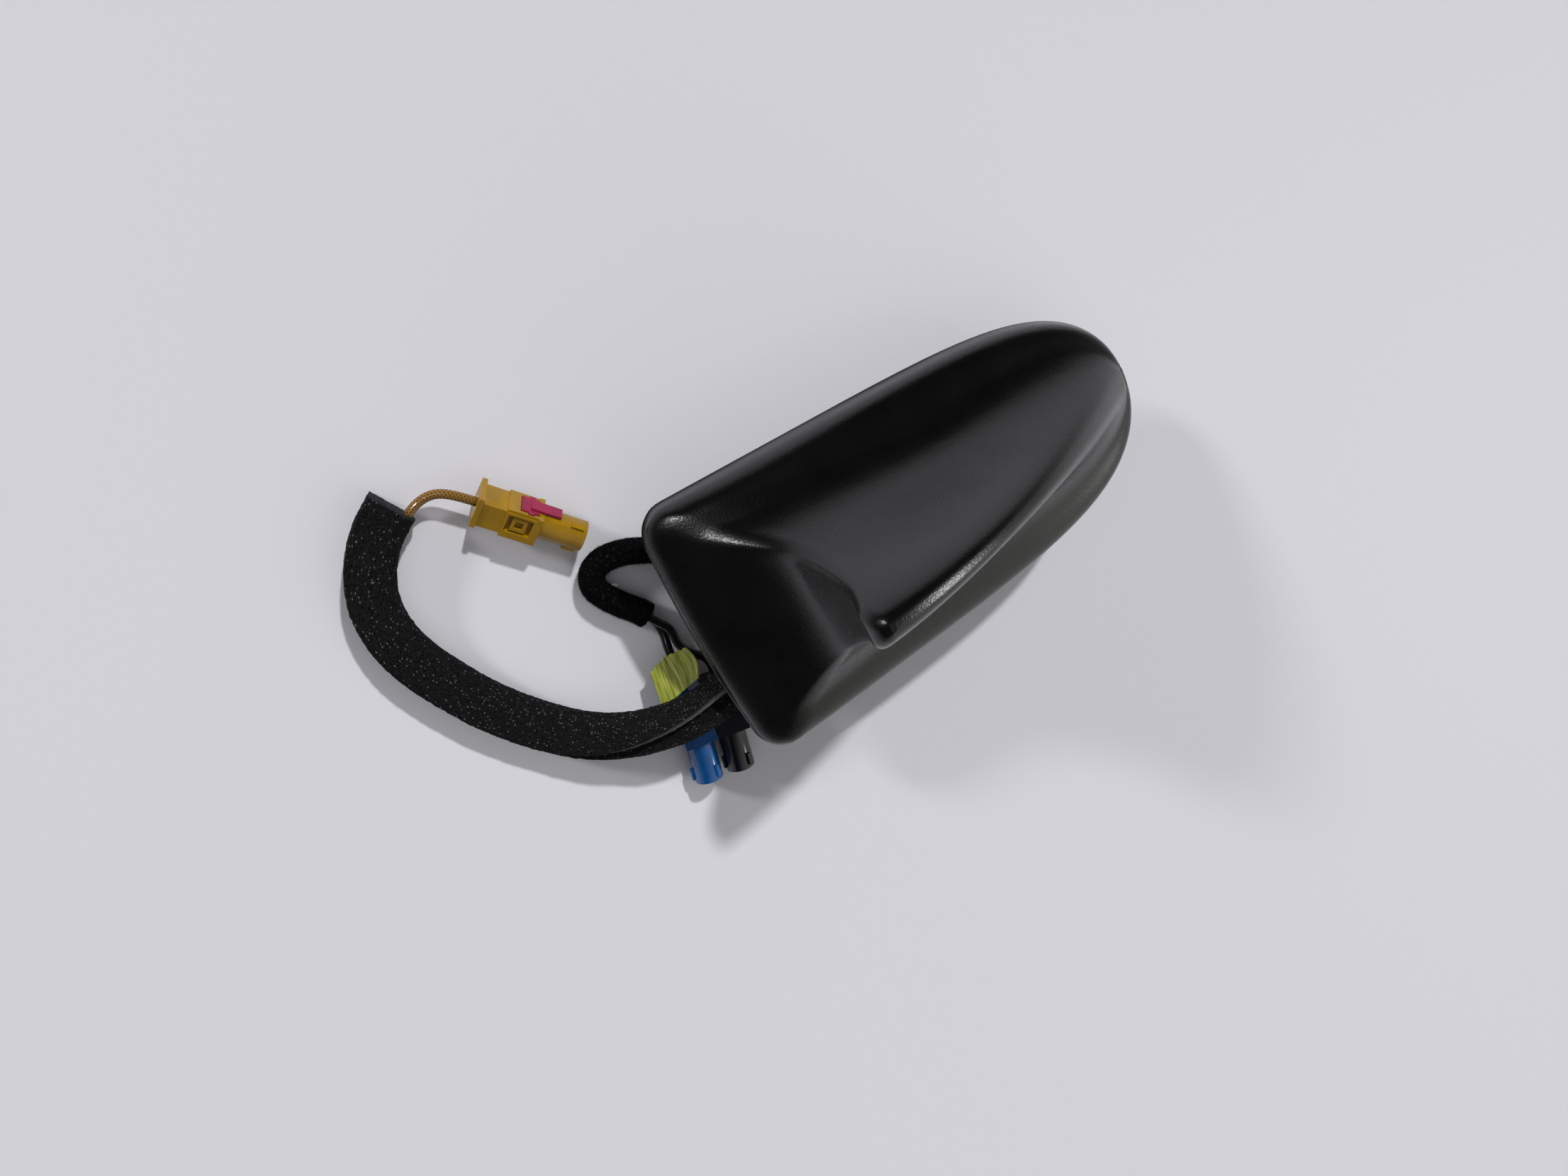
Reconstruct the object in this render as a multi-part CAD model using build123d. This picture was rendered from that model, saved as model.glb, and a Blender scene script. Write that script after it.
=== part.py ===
from build123d import *
import math
import os

# Shark fin roof aerial: a moulded cover on a die-cast base, held to a car roof by one bolt from
# below, with a foam-sleeved lead and a taped pair of leads that end in coded coaxial connectors.
# Millimetres. X runs to the nose, Y to the left, Z up. The origin is on the roof skin, on the bolt's axis.

# Cover: outline, fin and wall
COVER_LENGTH = 165.0
COVER_REAR_WIDTH = 89.0
COVER_NOSE_WIDTH = 72.0
COVER_WALL = 2.4
BOLT_FROM_REAR = 75.0
NOSE_SQUARENESS = 7.3
NOSE_ROUNDNESS = 2.1
SKIRT_DRAFT = 0.14
REAR_BOW = 2.2
BOW_FADE_HEIGHT = 12.0
BOW_FADE_LENGTH = 30.0
REAR_CORNER_RADIUS = 10.4
SHOULDER_HEIGHT = 13.0
SHOULDER_NOSE_HEIGHT = 4.5
SHOULDER_NOSE_POWER = 4.0
SHOULDER_REAR_DROP = 4.6
SHOULDER_REAR_REACH = 13.0
SHOULDER_ROUNDING = 4.0
SHOULDER_LEAN = 7.0
FLANK_START_DROP = 2.5
FIN_HEIGHT = 67.0
FIN_TIP_FROM_REAR = 36.3
FIN_TIP_RADIUS = 6.0
FIN_TOP_FLAT = 0.12
CAVITY_HEIGHT = 56.0
FIN_FLARE_REAR = 0.33
FIN_FLARE_NOSE = 0.42
FIN_FLARE_POWER = 3.0
FLARE_REACH = 0.97
FLARE_DIP = 0.075
FLARE_DIP_FROM_REAR = 88.0
FLARE_DIP_LENGTH = 42.0
FIN_WAIST_FROM_REAR = 36.6
FIN_WAIST_HEIGHT = 44.0
FIN_HOLLOW_RADIUS = 39.0
FIN_FOOT_RADIUS = 80.0
REAR_EDGE_ROUND = 2.6
FIN_FOOT_ROUND = 1.5
CREST_END_GAP = 3.0
CREST_NOSE_HEIGHT = 5.4
CREST_POWER = 1.66
CREASE_RADIUS = 3.6
CORNER_FADE_HEIGHT = 8.0
CORNER_SHARE = 0.8
CORNER_PROBE = 2.0
DECK_START_FROM_REAR = 10.6
DECK_START_HEIGHT = 9.2
DECK_RUN_REAR = 2.3
DECK_RUN_FRONT = 0.8
DECK_RISE = 16.0

# Base, seals and screws
SEAL_THICKNESS = 1.5
SEAL_SETBACK = 0.8
SEAL_WIDTH = 9.0
PLATE_THICKNESS = 3.0
PLATE_GAP = 0.4
RIM_HEIGHT = 2.5
RIM_WALL = 1.6
FOOT_LENGTH = 26.0
FOOT_WIDTH = 20.0
FOOT_DEPTH = 24.0
FOOT_CORNER = 3.0
FOOT_SHIFT = -2.5
BOLT_HOLE_RADIUS = 2.5
BOLT_HOLE_DEPTH = 16.0
GASKET_MARGIN = 7.0
DUCT_LENGTH = 8.8
DUCT_WIDTH = 14.0
DUCT_FLOOR = 5.0
FOOT_REAR_WALL = 2.5
WINDOW_HEIGHT = 11.0
COVER_SCREW_RADIUS = 1.5
COVER_SCREW_HEAD_RADIUS = 2.8
COVER_SCREW_HEAD_HEIGHT = 1.6
COVER_SCREW_LENGTH = 9.0
POST_RADIUS = 4.0
POST_BASE_HEIGHT = 2.5
REAR_POST_FROM_REAR = 25.0
REAR_POST_HALF_SPACING = 19.0
MIDDLE_POST_FROM_REAR = 78.0
MIDDLE_POST_INSET = 10.4
NOSE_POST_FROM_NOSE = 24.0
SCREW_GAP = 0.1

# Electronics
BOARD_REAR_WIDTH = 50.0
BOARD_NOSE_WIDTH = 26.0
BOARD_THICKNESS = 1.6
BOARD_CORNER = 4.0
BOARD_NOSE_GAP = 4.0
BOARD_REAR_GAP = 3.0
STANDOFF_HEIGHT = 4.0
STANDOFF_RADIUS = 3.0
STANDOFF_INSET = 4.5
BOARD_SCREW_RADIUS = 1.25
BOARD_SCREW_HEAD_RADIUS = 2.3
BOARD_SCREW_HEAD_HEIGHT = 1.4
BOARD_SCREW_LENGTH = 4.5
RADIO_PATCH_SHARE = 0.412
NAV_PATCH_SHARE = 0.353
PATCH_GAP_SHARE = 0.029
PATCH_THICKNESS = 4.0
PATCH_CORNER = 1.5
FEED_PIN_RADIUS = 0.6
FEED_PIN_HEAD_RADIUS = 1.2
FEED_PIN_HEAD_HEIGHT = 0.6
ELEMENT_THICKNESS = 0.8
ELEMENT_REAR_GAP = 3.0
ELEMENT_LENGTH = 22.0
ELEMENT_TOP_GAP = 5.0
ELEMENT_TOP_DROP = 5.0
ELEMENT_FOOT_HEIGHT = 18.0
ELEMENT_STEM_WIDTH = 7.0
ELEMENT_SLOT_WIDTH = 1.6
CLIP_METAL = 0.5
CLIP_HEIGHT = 6.0
CLIP_FOOT = 3.0
CLIP_SETBACK = 1.0
CAN_LENGTH = 24.0
CAN_WIDTH = 13.0
CAN_HEIGHT = 3.6
CAN_METAL = 0.4
COIL_RADIUS = 3.5
COIL_CORE_RADIUS = 1.6
COIL_HEIGHT = 8.0

# Leads, sleeves and the surface that they lie on
COAX_DIAMETER = 2.9
COAX_GAP = 0.1
PAIR_SPACING = 3.4
GROMMET_FLANGE = 2.0
GROMMET_MARGIN = 1.6
GROMMET_CORNER = 2.0
RADIO_EXIT_Y = -4.2
PAIR_EXIT_Y = 3.4
EXIT_HEIGHT = -13.0
LEAD_BEND_RADIUS = 4.0
ARC_SHARE = 0.45
FOAM_WIDTH = 15.0
FOAM_HEIGHT = 10.0
FOAM_OFFSET = 4.8
FOAM_START_WIDTH = 9.0
FOAM_START_HEIGHT = 8.4
FOAM_START_OFFSET = -0.4
FOAM_START_ROLL = 60.0
FOAM_FLAT_SHARE = 0.42
FOAM_STEP = 5.0
FOAM_CLEARANCE = 1.2
FLEECE_DIAMETER = 8.8
TAPE_THICKNESS = 0.5
TAPE_LIFT = 1.0
TAPE_GAP = 0.6

# Coded coaxial connectors
PLUG_LENGTH = 33.0
BARREL_LENGTH = 13.6
BARREL_RADIUS = 4.7
BARREL_WALL = 0.9
BARREL_DEPTH = 12.0
KEY_LENGTH = 4.0
KEY_WIDTH = 1.2
KEY_HEIGHT = 0.8
KEY_SETBACK = 1.2
PLUG_BODY_WIDTH = 9.8
PLUG_BODY_HEIGHT = 9.2
PLUG_STEP = 0.8
PLUG_STEP_LENGTH = 7.0
FLANGE_WIDTH = 10.8
FLANGE_HEIGHT = 10.4
FLANGE_THICKNESS = 1.6
WINDOW_LENGTH = 7.6
WINDOW_TALL = 6.0
WINDOW_DEPTH = 1.5
LATCH_SIDE = 4.6
LATCH_WALL = 1.1
SHELL_RADIUS = 2.5
SHELL_WALL = 0.4
SHELL_SETBACK = 4.6
PIN_RADIUS = 0.45
LOCK_LENGTH = 5.6
LOCK_WIDTH = 7.0
LOCK_EAR = 0.8
LOCK_THICKNESS = 1.2
TONGUE_LENGTH = 5.0
TONGUE_WIDTH = 4.2
TONGUE_THICKNESS = 0.7
LOCK_GAP = 0.1

FLOOR = -FOOT_DEPTH
COVER_BOTTOM = SEAL_THICKNESS
PLATE_TOP = COVER_BOTTOM + PLATE_THICKNESS
BOARD_BOTTOM = PLATE_TOP + STANDOFF_HEIGHT
BOARD_TOP = BOARD_BOTTOM + BOARD_THICKNESS
FOOT_REAR = FOOT_SHIFT - FOOT_LENGTH / 2
GROMMET_FACE = FOOT_REAR - GROMMET_FLANGE
COAX_RADIUS = COAX_DIAMETER / 2
PLUG_AXIS = FLOOR + BARREL_RADIUS + LOCK_GAP + TONGUE_THICKNESS
PLUG_TOP = PLUG_AXIS + FLANGE_HEIGHT / 2


def rolled_height(roll):
    # how high a plug's axis lies when the plug rests on an edge of its flange
    turn = math.radians(roll)
    return (FLANGE_WIDTH * math.sin(turn) + FLANGE_HEIGHT * math.cos(turn)) / 2


# Routes, from the grommet outwards, as they lie on the table
FOAM_LOW = FLOOR + FOAM_HEIGHT / 2
FOAM_OVER = PLUG_TOP + TAPE_THICKNESS + FOAM_HEIGHT / 2 + FOAM_CLEARANCE
PAIR_LOW = FLOOR + FLEECE_DIAMETER / 2
RADIO_PLUG_ROLL = 59.0
RADIO_PLUG_AXIS = FLOOR + rolled_height(RADIO_PLUG_ROLL)
RADIO_PLUG_MOUTH = (-85.8, 42.9, RADIO_PLUG_AXIS)
RADIO_PLUG_HEADING = (0.642, -0.767, 0.0)
PAIR_PLUG_ROLL = 180.0
NAV_PLUG_MOUTH = (-91.8, -48.4, PLUG_AXIS)
BROADCAST_PLUG_MOUTH = (-81.0, -51.1, PLUG_AXIS)
PAIR_PLUG_HEADING = (-0.244, -0.970, 0.0)

RADIO_BEFORE_FOAM = [
    (-29.0, -4.2, EXIT_HEIGHT),
    (-43.0, -7.0, -11.4),
    (-56.0, -13.0, -8.9),
    (-70.2, -18.2, FOAM_OVER),
]
RADIO_IN_FOAM = [
    (-81.4, -19.4, FOAM_OVER),
    (-92.4, -17.8, FOAM_OVER - 0.4),
    (-101.9, -15.2, -11.0),
    (-109.4, -11.8, -15.2),
    (-115.6, -7.0, -17.8),
    (-121.6, -0.3, FOAM_LOW),
    (-127.2, 7.3, FOAM_LOW),
    (-132.9, 16.3, FOAM_LOW),
    (-137.5, 26.2, FOAM_LOW),
    (-141.0, 34.9, FOAM_LOW),
    (-143.2, 43.1, FOAM_LOW),
    (-143.5, 51.2, FOAM_LOW),
    (-141.9, 58.1, FOAM_LOW),
    (-138.6, 63.9, FOAM_LOW),
    (-134.0, 69.2, FOAM_LOW),
    (-128.2, 73.0, FOAM_LOW),
]
RADIO_AFTER_FOAM = [
    (-122.0, 76.2, FOAM_LOW + 0.1),
    (-116.0, 76.5, FOAM_LOW + 1.2),
]
PAIR_BEFORE_FLEECE = [
    (-29.0, 3.4, EXIT_HEIGHT),
    (-42.0, 7.0, -14.8),
    (-54.0, 15.0, -17.2),
]
PAIR_IN_FLEECE = [
    (-64.0, 23.4, -19.0),
    (-71.8, 28.5, PAIR_LOW),
    (-78.5, 31.8, PAIR_LOW),
    (-84.6, 33.0, PAIR_LOW),
    (-89.6, 31.2, PAIR_LOW),
    (-91.4, 26.6, PAIR_LOW),
    (-89.3, 21.7, PAIR_LOW),
    (-86.2, 16.8, PAIR_LOW),
    (-82.8, 12.4, PAIR_LOW),
]
PAIR_AFTER_FLEECE = [
    (-80.4, 7.6, PAIR_LOW),
]
PAIR_ROUTE = PAIR_BEFORE_FLEECE + PAIR_IN_FLEECE + PAIR_AFTER_FLEECE
NAV_TAIL = [
    (-79.7, 2.2, PAIR_LOW - 1.0),
    (-81.6, -3.8, PLUG_AXIS - 0.7),
]
BROADCAST_TAIL = [
    (-77.3, 2.4, PAIR_LOW + 1.9),
    (-78.2, -3.2, PLUG_AXIS + 0.6),
    (-76.2, -8.2, PLUG_AXIS + 0.2),
]
PLUG_LEAD_IN = 6.4
TAPE_OUTLINE = [
    (-90.6, -5.6),
    (-84.0, -3.6),
    (-76.6, -4.8),
    (-75.9, -10.0),
    (-78.4, -14.6),
    (-93.0, -16.6),
]


# Cover skin: closed sections worked out from the rules of its form

SKIRT_SHARES = (0.0, 0.35, 0.7, 0.86, 0.95)
FIN_SHARES = (0.007, 0.02, 0.04, 0.07, 0.11, 0.16, 0.22, 0.3, 0.4, 0.5, 0.6, 0.7, 0.8)
TIP_SHARES = (0.88, 0.94, 0.975, 0.992, 1.0)
OUTLINE_STEPS = 300
BACK_POINTS = 7
BACK_SHARE = 0.3
BACK_CROWDING = 0.6
SIDE_POINTS = 20
SIDE_CROWDING = 1.2


def soft_max(first, second, blend):
    return (first + second + math.hypot(first - second, 2 * blend)) / 2


def soft_min(first, second, blend):
    return (first + second - math.hypot(first - second, 2 * blend)) / 2


def outline_half_width(x, inset):
    share = min(max(x, 0.0) / (COVER_LENGTH - inset), 1.0)
    straight = (COVER_REAR_WIDTH + (COVER_NOSE_WIDTH - COVER_REAR_WIDTH) * share) / 2
    return (straight - inset) * (1 - share**NOSE_SQUARENESS) ** (1 / NOSE_ROUNDNESS)


def crest_height(x):
    run = COVER_LENGTH - CREST_END_GAP - FIN_TIP_FROM_REAR
    share = max((x - FIN_TIP_FROM_REAR) / run, 0.0)
    return CREST_NOSE_HEIGHT + (FIN_HEIGHT - CREST_NOSE_HEIGHT) * (1 - share**CREST_POWER)


def crest_reach(z):
    run = COVER_LENGTH - CREST_END_GAP - FIN_TIP_FROM_REAR
    drop = (FIN_HEIGHT - z) / (FIN_HEIGHT - CREST_NOSE_HEIGHT)
    return FIN_TIP_FROM_REAR + run * drop ** (1 / CREST_POWER)


def shoulder_height(x):
    share = min(max(x, 0.0) / COVER_LENGTH, 1.0)
    along = SHOULDER_HEIGHT - (SHOULDER_HEIGHT - SHOULDER_NOSE_HEIGHT) * share**SHOULDER_NOSE_POWER
    fade = math.exp((SHOULDER_REAR_REACH / 2 - max(x, 0.0)) / SHOULDER_REAR_REACH)
    return along - SHOULDER_REAR_DROP * fade


def skirt_inset(x, z):
    # the skirt's draft, and a quarter of an ellipse in which it leans over into the shoulder
    shoulder = shoulder_height(x)
    rise = min(max(z / shoulder, 0.0), 1.0)
    return SKIRT_DRAFT * z + SHOULDER_LEAN * shoulder / SHOULDER_HEIGHT * (1 - math.sqrt(1 - rise**2))


def skin_half_width(x, z):
    # the leaning skirt wall, the flared fin flank above it, and a round between them
    wall = outline_half_width(x, skirt_inset(x, z))
    shoulder = shoulder_height(x)
    crest = crest_height(x)
    flank_start = shoulder - FLANK_START_DROP * shoulder / SHOULDER_HEIGHT
    if wall <= 0 or crest <= z > shoulder:
        return 0.0
    if z <= flank_start:
        return wall
    share = min(max(x, 0.0) / COVER_LENGTH, 1.0)
    flare = FIN_FLARE_REAR + (FIN_FLARE_NOSE - FIN_FLARE_REAR) * share**SHOULDER_NOSE_POWER
    flare -= FLARE_DIP * math.exp(-(((x - FLARE_DIP_FROM_REAR) / FLARE_DIP_LENGTH) ** 2))
    spread = flare * outline_half_width(min(x, FLARE_REACH * COVER_LENGTH), 0.0)
    flank = spread * max((crest - flank_start) / (z - flank_start) - 1, 0.0) ** (1 / FIN_FLARE_POWER)
    power = SHOULDER_ROUNDING
    return (wall**-power + max(flank, 0.001) ** -power) ** (-1 / power)


def deck_reach(z):
    # the sloping deck behind the fin, steeper towards the front
    rise = z - DECK_START_HEIGHT
    curve = (DECK_RUN_FRONT - DECK_RUN_REAR) / (2 * DECK_RISE)
    if rise > DECK_RISE:
        return deck_reach(DECK_START_HEIGHT + DECK_RISE) + DECK_RUN_FRONT * (rise - DECK_RISE)
    return DECK_START_FROM_REAR + DECK_RUN_REAR * rise + curve * rise**2


def rear_reach(z):
    # skirt, deck and the fin's hollow trailing edge, as one smooth line, closed by the round tip
    bottom = soft_max(0.0, deck_reach(0.0), REAR_EDGE_ROUND)
    skirt = soft_max(SKIRT_DRAFT * z, deck_reach(z), REAR_EDGE_ROUND) - bottom
    tip_start = FIN_HEIGHT - FIN_TIP_RADIUS
    above_waist = min(z, tip_start) - FIN_WAIST_HEIGHT
    hollow = above_waist**2 / (2 * (FIN_HOLLOW_RADIUS if above_waist > 0 else FIN_FOOT_RADIUS))
    line = soft_min(skirt, FIN_WAIST_FROM_REAR - hollow, FIN_FOOT_ROUND)
    if z > tip_start:
        line += FIN_TIP_RADIUS - math.sqrt(max(FIN_TIP_RADIUS**2 - (z - tip_start) ** 2, 0.0))
    return line


def front_reach(z):
    edge = COVER_LENGTH - skirt_inset(COVER_LENGTH, z)
    return min(edge, crest_reach(z)) if z > SHOULDER_NOSE_HEIGHT else edge


def spread_points(line, shares):
    # points at the given shares of a line's length
    lengths = [0.0]
    for start, end in zip(line, line[1:]):
        lengths.append(lengths[-1] + math.dist(start, end))
    points = []
    for share in shares:
        goal = share * lengths[-1]
        i = max(k for k in range(len(line) - 1) if lengths[k] <= goal + 1e-9)
        part = (goal - lengths[i]) / max(lengths[i + 1] - lengths[i], 1e-9)
        points.append(tuple(a + part * (b - a) for a, b in zip(line[i], line[i + 1])))
    return points


def settle(reach, height_at, low, high):
    # the place along the length where a rising section meets the line that bounds it
    for _ in range(60):
        middle = (low + high) / 2
        if reach(height_at(middle)) > middle:
            low = middle
        else:
            high = middle
    return (low + high) / 2


def skin_section(height_at, inset, lift):
    # one closed curve round the skin, at a height that may vary along the length, drawn in by inset
    def raised(x):
        return max(height_at(x) + lift, 0.0)

    rear = settle(rear_reach, raised, 0.0, COVER_LENGTH / 2)
    front = settle(front_reach, raised, FIN_TIP_FROM_REAR - FIN_TIP_RADIUS, COVER_LENGTH)
    low = raised(rear)
    fade = math.exp(-((low / CORNER_FADE_HEIGHT) ** 2))
    corner = CREASE_RADIUS + (REAR_CORNER_RADIUS - CREASE_RADIUS) * fade
    corner = min(corner, CORNER_SHARE * skin_half_width(rear + CORNER_PROBE, low))
    line = []
    for i in range(OUTLINE_STEPS + 1):
        x = rear + (front - rear) * (1 - math.cos(math.pi * i / OUTLINE_STEPS)) / 2
        y = skin_half_width(x, raised(x)) if i < OUTLINE_STEPS else 0.0
        if x - rear < corner:
            y -= corner - math.sqrt(max(corner**2 - (corner - x + rear) ** 2, 0.0))
        line.append((x, max(y, 0.0)))
    middle = next(i for i, point in enumerate(line) if point[0] - rear > BACK_SHARE * corner)
    back_shares = [k / BACK_POINTS for k in range(BACK_POINTS)]
    back_shares = [(1 + BACK_CROWDING) * share - BACK_CROWDING * share**2 for share in back_shares]
    side_shares = [SIDE_CROWDING * (2 * k / SIDE_POINTS - 1) for k in range(SIDE_POINTS + 1)]
    side_shares = [(1 + math.tanh(share) / math.tanh(SIDE_CROWDING)) / 2 for share in side_shares]
    half = spread_points([(rear, 0.0)] + line[: middle + 1], back_shares)
    half += spread_points(line[middle:], side_shares)
    widest = max(y for x, y in half)
    bow = REAR_BOW * math.exp(-((low / BOW_FADE_HEIGHT) ** 2))
    ring = []
    for x, y in half:
        inner_x = rear + inset + (x - rear) * (front - rear - 2 * inset) / (front - rear)
        inner_x += bow * (y / widest) ** 2 * max(1 - (x - rear) / BOW_FADE_LENGTH, 0.0)
        ring.append((inner_x - BOLT_FROM_REAR, y * (1 - inset / widest), COVER_BOTTOM + height_at(x)))
    ring += [(x, -y, z) for x, y, z in reversed(ring[1:-1])]
    knots = [i / len(ring) for i in range(len(ring) + 1)]
    return Wire([Edge.make_spline([Vector(*point) for point in ring], periodic=True, parameters=knots)])


def skirt_level(share, lift):
    bottom = -lift / 2
    return lambda x: bottom + share * (shoulder_height(x) - lift - bottom)


def fin_level(share, lift, top):
    return lambda x: shoulder_height(x) - lift + share * (top - shoulder_height(x))


def make_skin(wall, top, fin_shares):
    # sections that follow the shoulder, so that its round runs along them; with a wall, the cavity's skin
    levels = [skirt_level(share, wall) for share in SKIRT_SHARES]
    levels += [fin_level(share, wall, top) for share in fin_shares]
    return Solid.make_loft([skin_section(level, wall, wall) for level in levels])


def level_plate(level, inset, lift, bottom, thickness):
    face = Face(skin_section(lambda x: level, inset, lift))
    return Pos(0, 0, bottom - COVER_BOTTOM - level) * Solid.extrude(face, Vector(0, 0, thickness))


def post_places():
    nose = COVER_LENGTH - NOSE_POST_FROM_NOSE - BOLT_FROM_REAR
    middle_half = outline_half_width(MIDDLE_POST_FROM_REAR, 0.0) - MIDDLE_POST_INSET
    places = [(nose, 0.0)]
    for side in (-1, 1):
        places.append((REAR_POST_FROM_REAR - BOLT_FROM_REAR, side * REAR_POST_HALF_SPACING))
        places.append((MIDDLE_POST_FROM_REAR - BOLT_FROM_REAR, side * middle_half))
    return places


def rod(radius, bottom, top, x=0.0, y=0.0):
    return Pos(x, y, (bottom + top) / 2) * Cylinder(radius, top - bottom)


def block(low, high):
    size = [b - a for a, b in zip(low, high)]
    centre = [(a + b) / 2 for a, b in zip(low, high)]
    return Pos(*centre) * Box(*size)


POST_BOTTOM = PLATE_TOP + POST_BASE_HEIGHT
COVER_SCREW_SEAT = COVER_BOTTOM + COVER_SCREW_HEAD_HEIGHT
COVER_SCREW_TIP = COVER_SCREW_SEAT + COVER_SCREW_LENGTH


def make_cover():
    outer = make_skin(0.0, FIN_HEIGHT - FIN_TOP_FLAT, FIN_SHARES + TIP_SHARES)
    cavity = make_skin(COVER_WALL, CAVITY_HEIGHT, FIN_SHARES + (1.0,))
    cover = outer - cavity
    for x, y in post_places():
        cover += rod(POST_RADIUS, POST_BOTTOM, FIN_HEIGHT, x, y) & outer
        cover -= rod(COVER_SCREW_RADIUS + SCREW_GAP, POST_BOTTOM, COVER_SCREW_TIP + SCREW_GAP, x, y)
    return cover


def foot_body(bottom, top, margin=0.0):
    outline = RectangleRounded(FOOT_LENGTH + 2 * margin, FOOT_WIDTH + 2 * margin, FOOT_CORNER + margin)
    return Pos(FOOT_SHIFT, 0, bottom) * extrude(outline, top - bottom)


def make_base():
    base = level_plate(PLATE_THICKNESS, COVER_WALL + PLATE_GAP, COVER_WALL, COVER_BOTTOM, PLATE_THICKNESS)
    rim_level = PLATE_THICKNESS + RIM_HEIGHT
    rim = level_plate(rim_level, COVER_WALL + PLATE_GAP, COVER_WALL, PLATE_TOP, RIM_HEIGHT)
    rim -= level_plate(rim_level, COVER_WALL + PLATE_GAP + RIM_WALL, COVER_WALL, PLATE_TOP, RIM_HEIGHT)
    base += rim
    base += foot_body(FLOOR, COVER_BOTTOM)
    for x, y in post_places():
        base += rod(POST_RADIUS, PLATE_TOP, POST_BOTTOM, x, y)
        base -= rod(COVER_SCREW_RADIUS + SCREW_GAP, COVER_BOTTOM, POST_BOTTOM, x, y)
        base -= rod(COVER_SCREW_HEAD_RADIUS + SCREW_GAP, COVER_BOTTOM, COVER_SCREW_SEAT, x, y)
    thread_end = BOARD_TOP - BOARD_SCREW_LENGTH - SCREW_GAP
    for x, y in standoff_places():
        base += rod(STANDOFF_RADIUS, PLATE_TOP, BOARD_BOTTOM, x, y)
        base -= rod(BOARD_SCREW_RADIUS + SCREW_GAP, thread_end, BOARD_BOTTOM, x, y)
    base -= rod(BOLT_HOLE_RADIUS, FLOOR, FLOOR + BOLT_HOLE_DEPTH)
    duct_rear = FOOT_REAR + FOOT_REAR_WALL
    duct_floor = EXIT_HEIGHT - DUCT_FLOOR
    half = DUCT_WIDTH / 2
    base -= block((duct_rear, -half, duct_floor), (duct_rear + DUCT_LENGTH, half, PLATE_TOP))
    base -= block((FOOT_REAR, -half, duct_floor), (duct_rear, half, duct_floor + WINDOW_HEIGHT))
    return base


def make_roof_seal():
    ring = level_plate(0.0, SEAL_SETBACK, 0.0, 0.0, SEAL_THICKNESS)
    return ring - level_plate(0.0, SEAL_SETBACK + SEAL_WIDTH, 0.0, 0.0, SEAL_THICKNESS)


def make_foot_gasket():
    return foot_body(0.0, SEAL_THICKNESS, GASKET_MARGIN) - foot_body(0.0, SEAL_THICKNESS, PLATE_GAP)


def make_cover_screws():
    screws = []
    for x, y in post_places():
        screw = rod(COVER_SCREW_RADIUS, COVER_SCREW_SEAT, COVER_SCREW_TIP, x, y)
        screws.append(screw + rod(COVER_SCREW_HEAD_RADIUS, COVER_BOTTOM, COVER_SCREW_SEAT, x, y))
    return screws


# Electronics

ELEMENT_REAR = FIN_WAIST_FROM_REAR + COVER_WALL + ELEMENT_REAR_GAP - BOLT_FROM_REAR
ELEMENT_STEM_X = ELEMENT_REAR + ELEMENT_LENGTH / 2
ELEMENT_BOTTOM = BOARD_TOP + CLIP_METAL
ELEMENT_TOP = CAVITY_HEIGHT - ELEMENT_TOP_GAP
BOARD_REAR = ELEMENT_REAR - BOARD_REAR_GAP
BOARD_NOSE = COVER_LENGTH - NOSE_POST_FROM_NOSE - POST_RADIUS - BOARD_NOSE_GAP - BOLT_FROM_REAR
CAN_NOSE = ELEMENT_STEM_X + CAN_LENGTH / 2


def standoff_places():
    places = []
    for side in (-1, 1):
        places.append((BOARD_REAR + STANDOFF_INSET, side * (BOARD_REAR_WIDTH / 2 - STANDOFF_INSET)))
        places.append((BOARD_NOSE - STANDOFF_INSET, side * (BOARD_NOSE_WIDTH / 2 - STANDOFF_INSET)))
    return places


def patch_places():
    # two square patches, one after the other, in the room between the shield can and the board's nose
    room = BOARD_NOSE - CAN_NOSE
    radio_side, nav_side, gap = RADIO_PATCH_SHARE * room, NAV_PATCH_SHARE * room, PATCH_GAP_SHARE * room
    radio_x = CAN_NOSE + gap + radio_side / 2
    nav_x = radio_x + radio_side / 2 + gap + nav_side / 2
    return {"radio_patch": (radio_x, radio_side), "nav_patch": (nav_x, nav_side)}


def make_board():
    rear, nose = BOARD_REAR_WIDTH / 2, BOARD_NOSE_WIDTH / 2
    corners = [(BOARD_REAR, -rear), (BOARD_NOSE, -nose), (BOARD_NOSE, nose), (BOARD_REAR, rear)]
    outline = make_face(Polyline(*corners, close=True))
    outline = fillet(outline.vertices(), BOARD_CORNER)
    board = Pos(0, 0, BOARD_BOTTOM) * extrude(outline, BOARD_THICKNESS)
    for x, y in standoff_places():
        board -= rod(BOARD_SCREW_RADIUS + SCREW_GAP, BOARD_BOTTOM, BOARD_TOP, x, y)
    for x, side in patch_places().values():
        board -= rod(FEED_PIN_RADIUS + SCREW_GAP, BOARD_BOTTOM, BOARD_TOP, x, 0.0)
    return board


def make_board_screws():
    screws = []
    head_top = BOARD_TOP + BOARD_SCREW_HEAD_HEIGHT
    for x, y in standoff_places():
        screw = rod(BOARD_SCREW_RADIUS, BOARD_TOP - BOARD_SCREW_LENGTH, BOARD_TOP, x, y)
        screws.append(screw + rod(BOARD_SCREW_HEAD_RADIUS, BOARD_TOP, head_top, x, y))
    return screws


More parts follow.
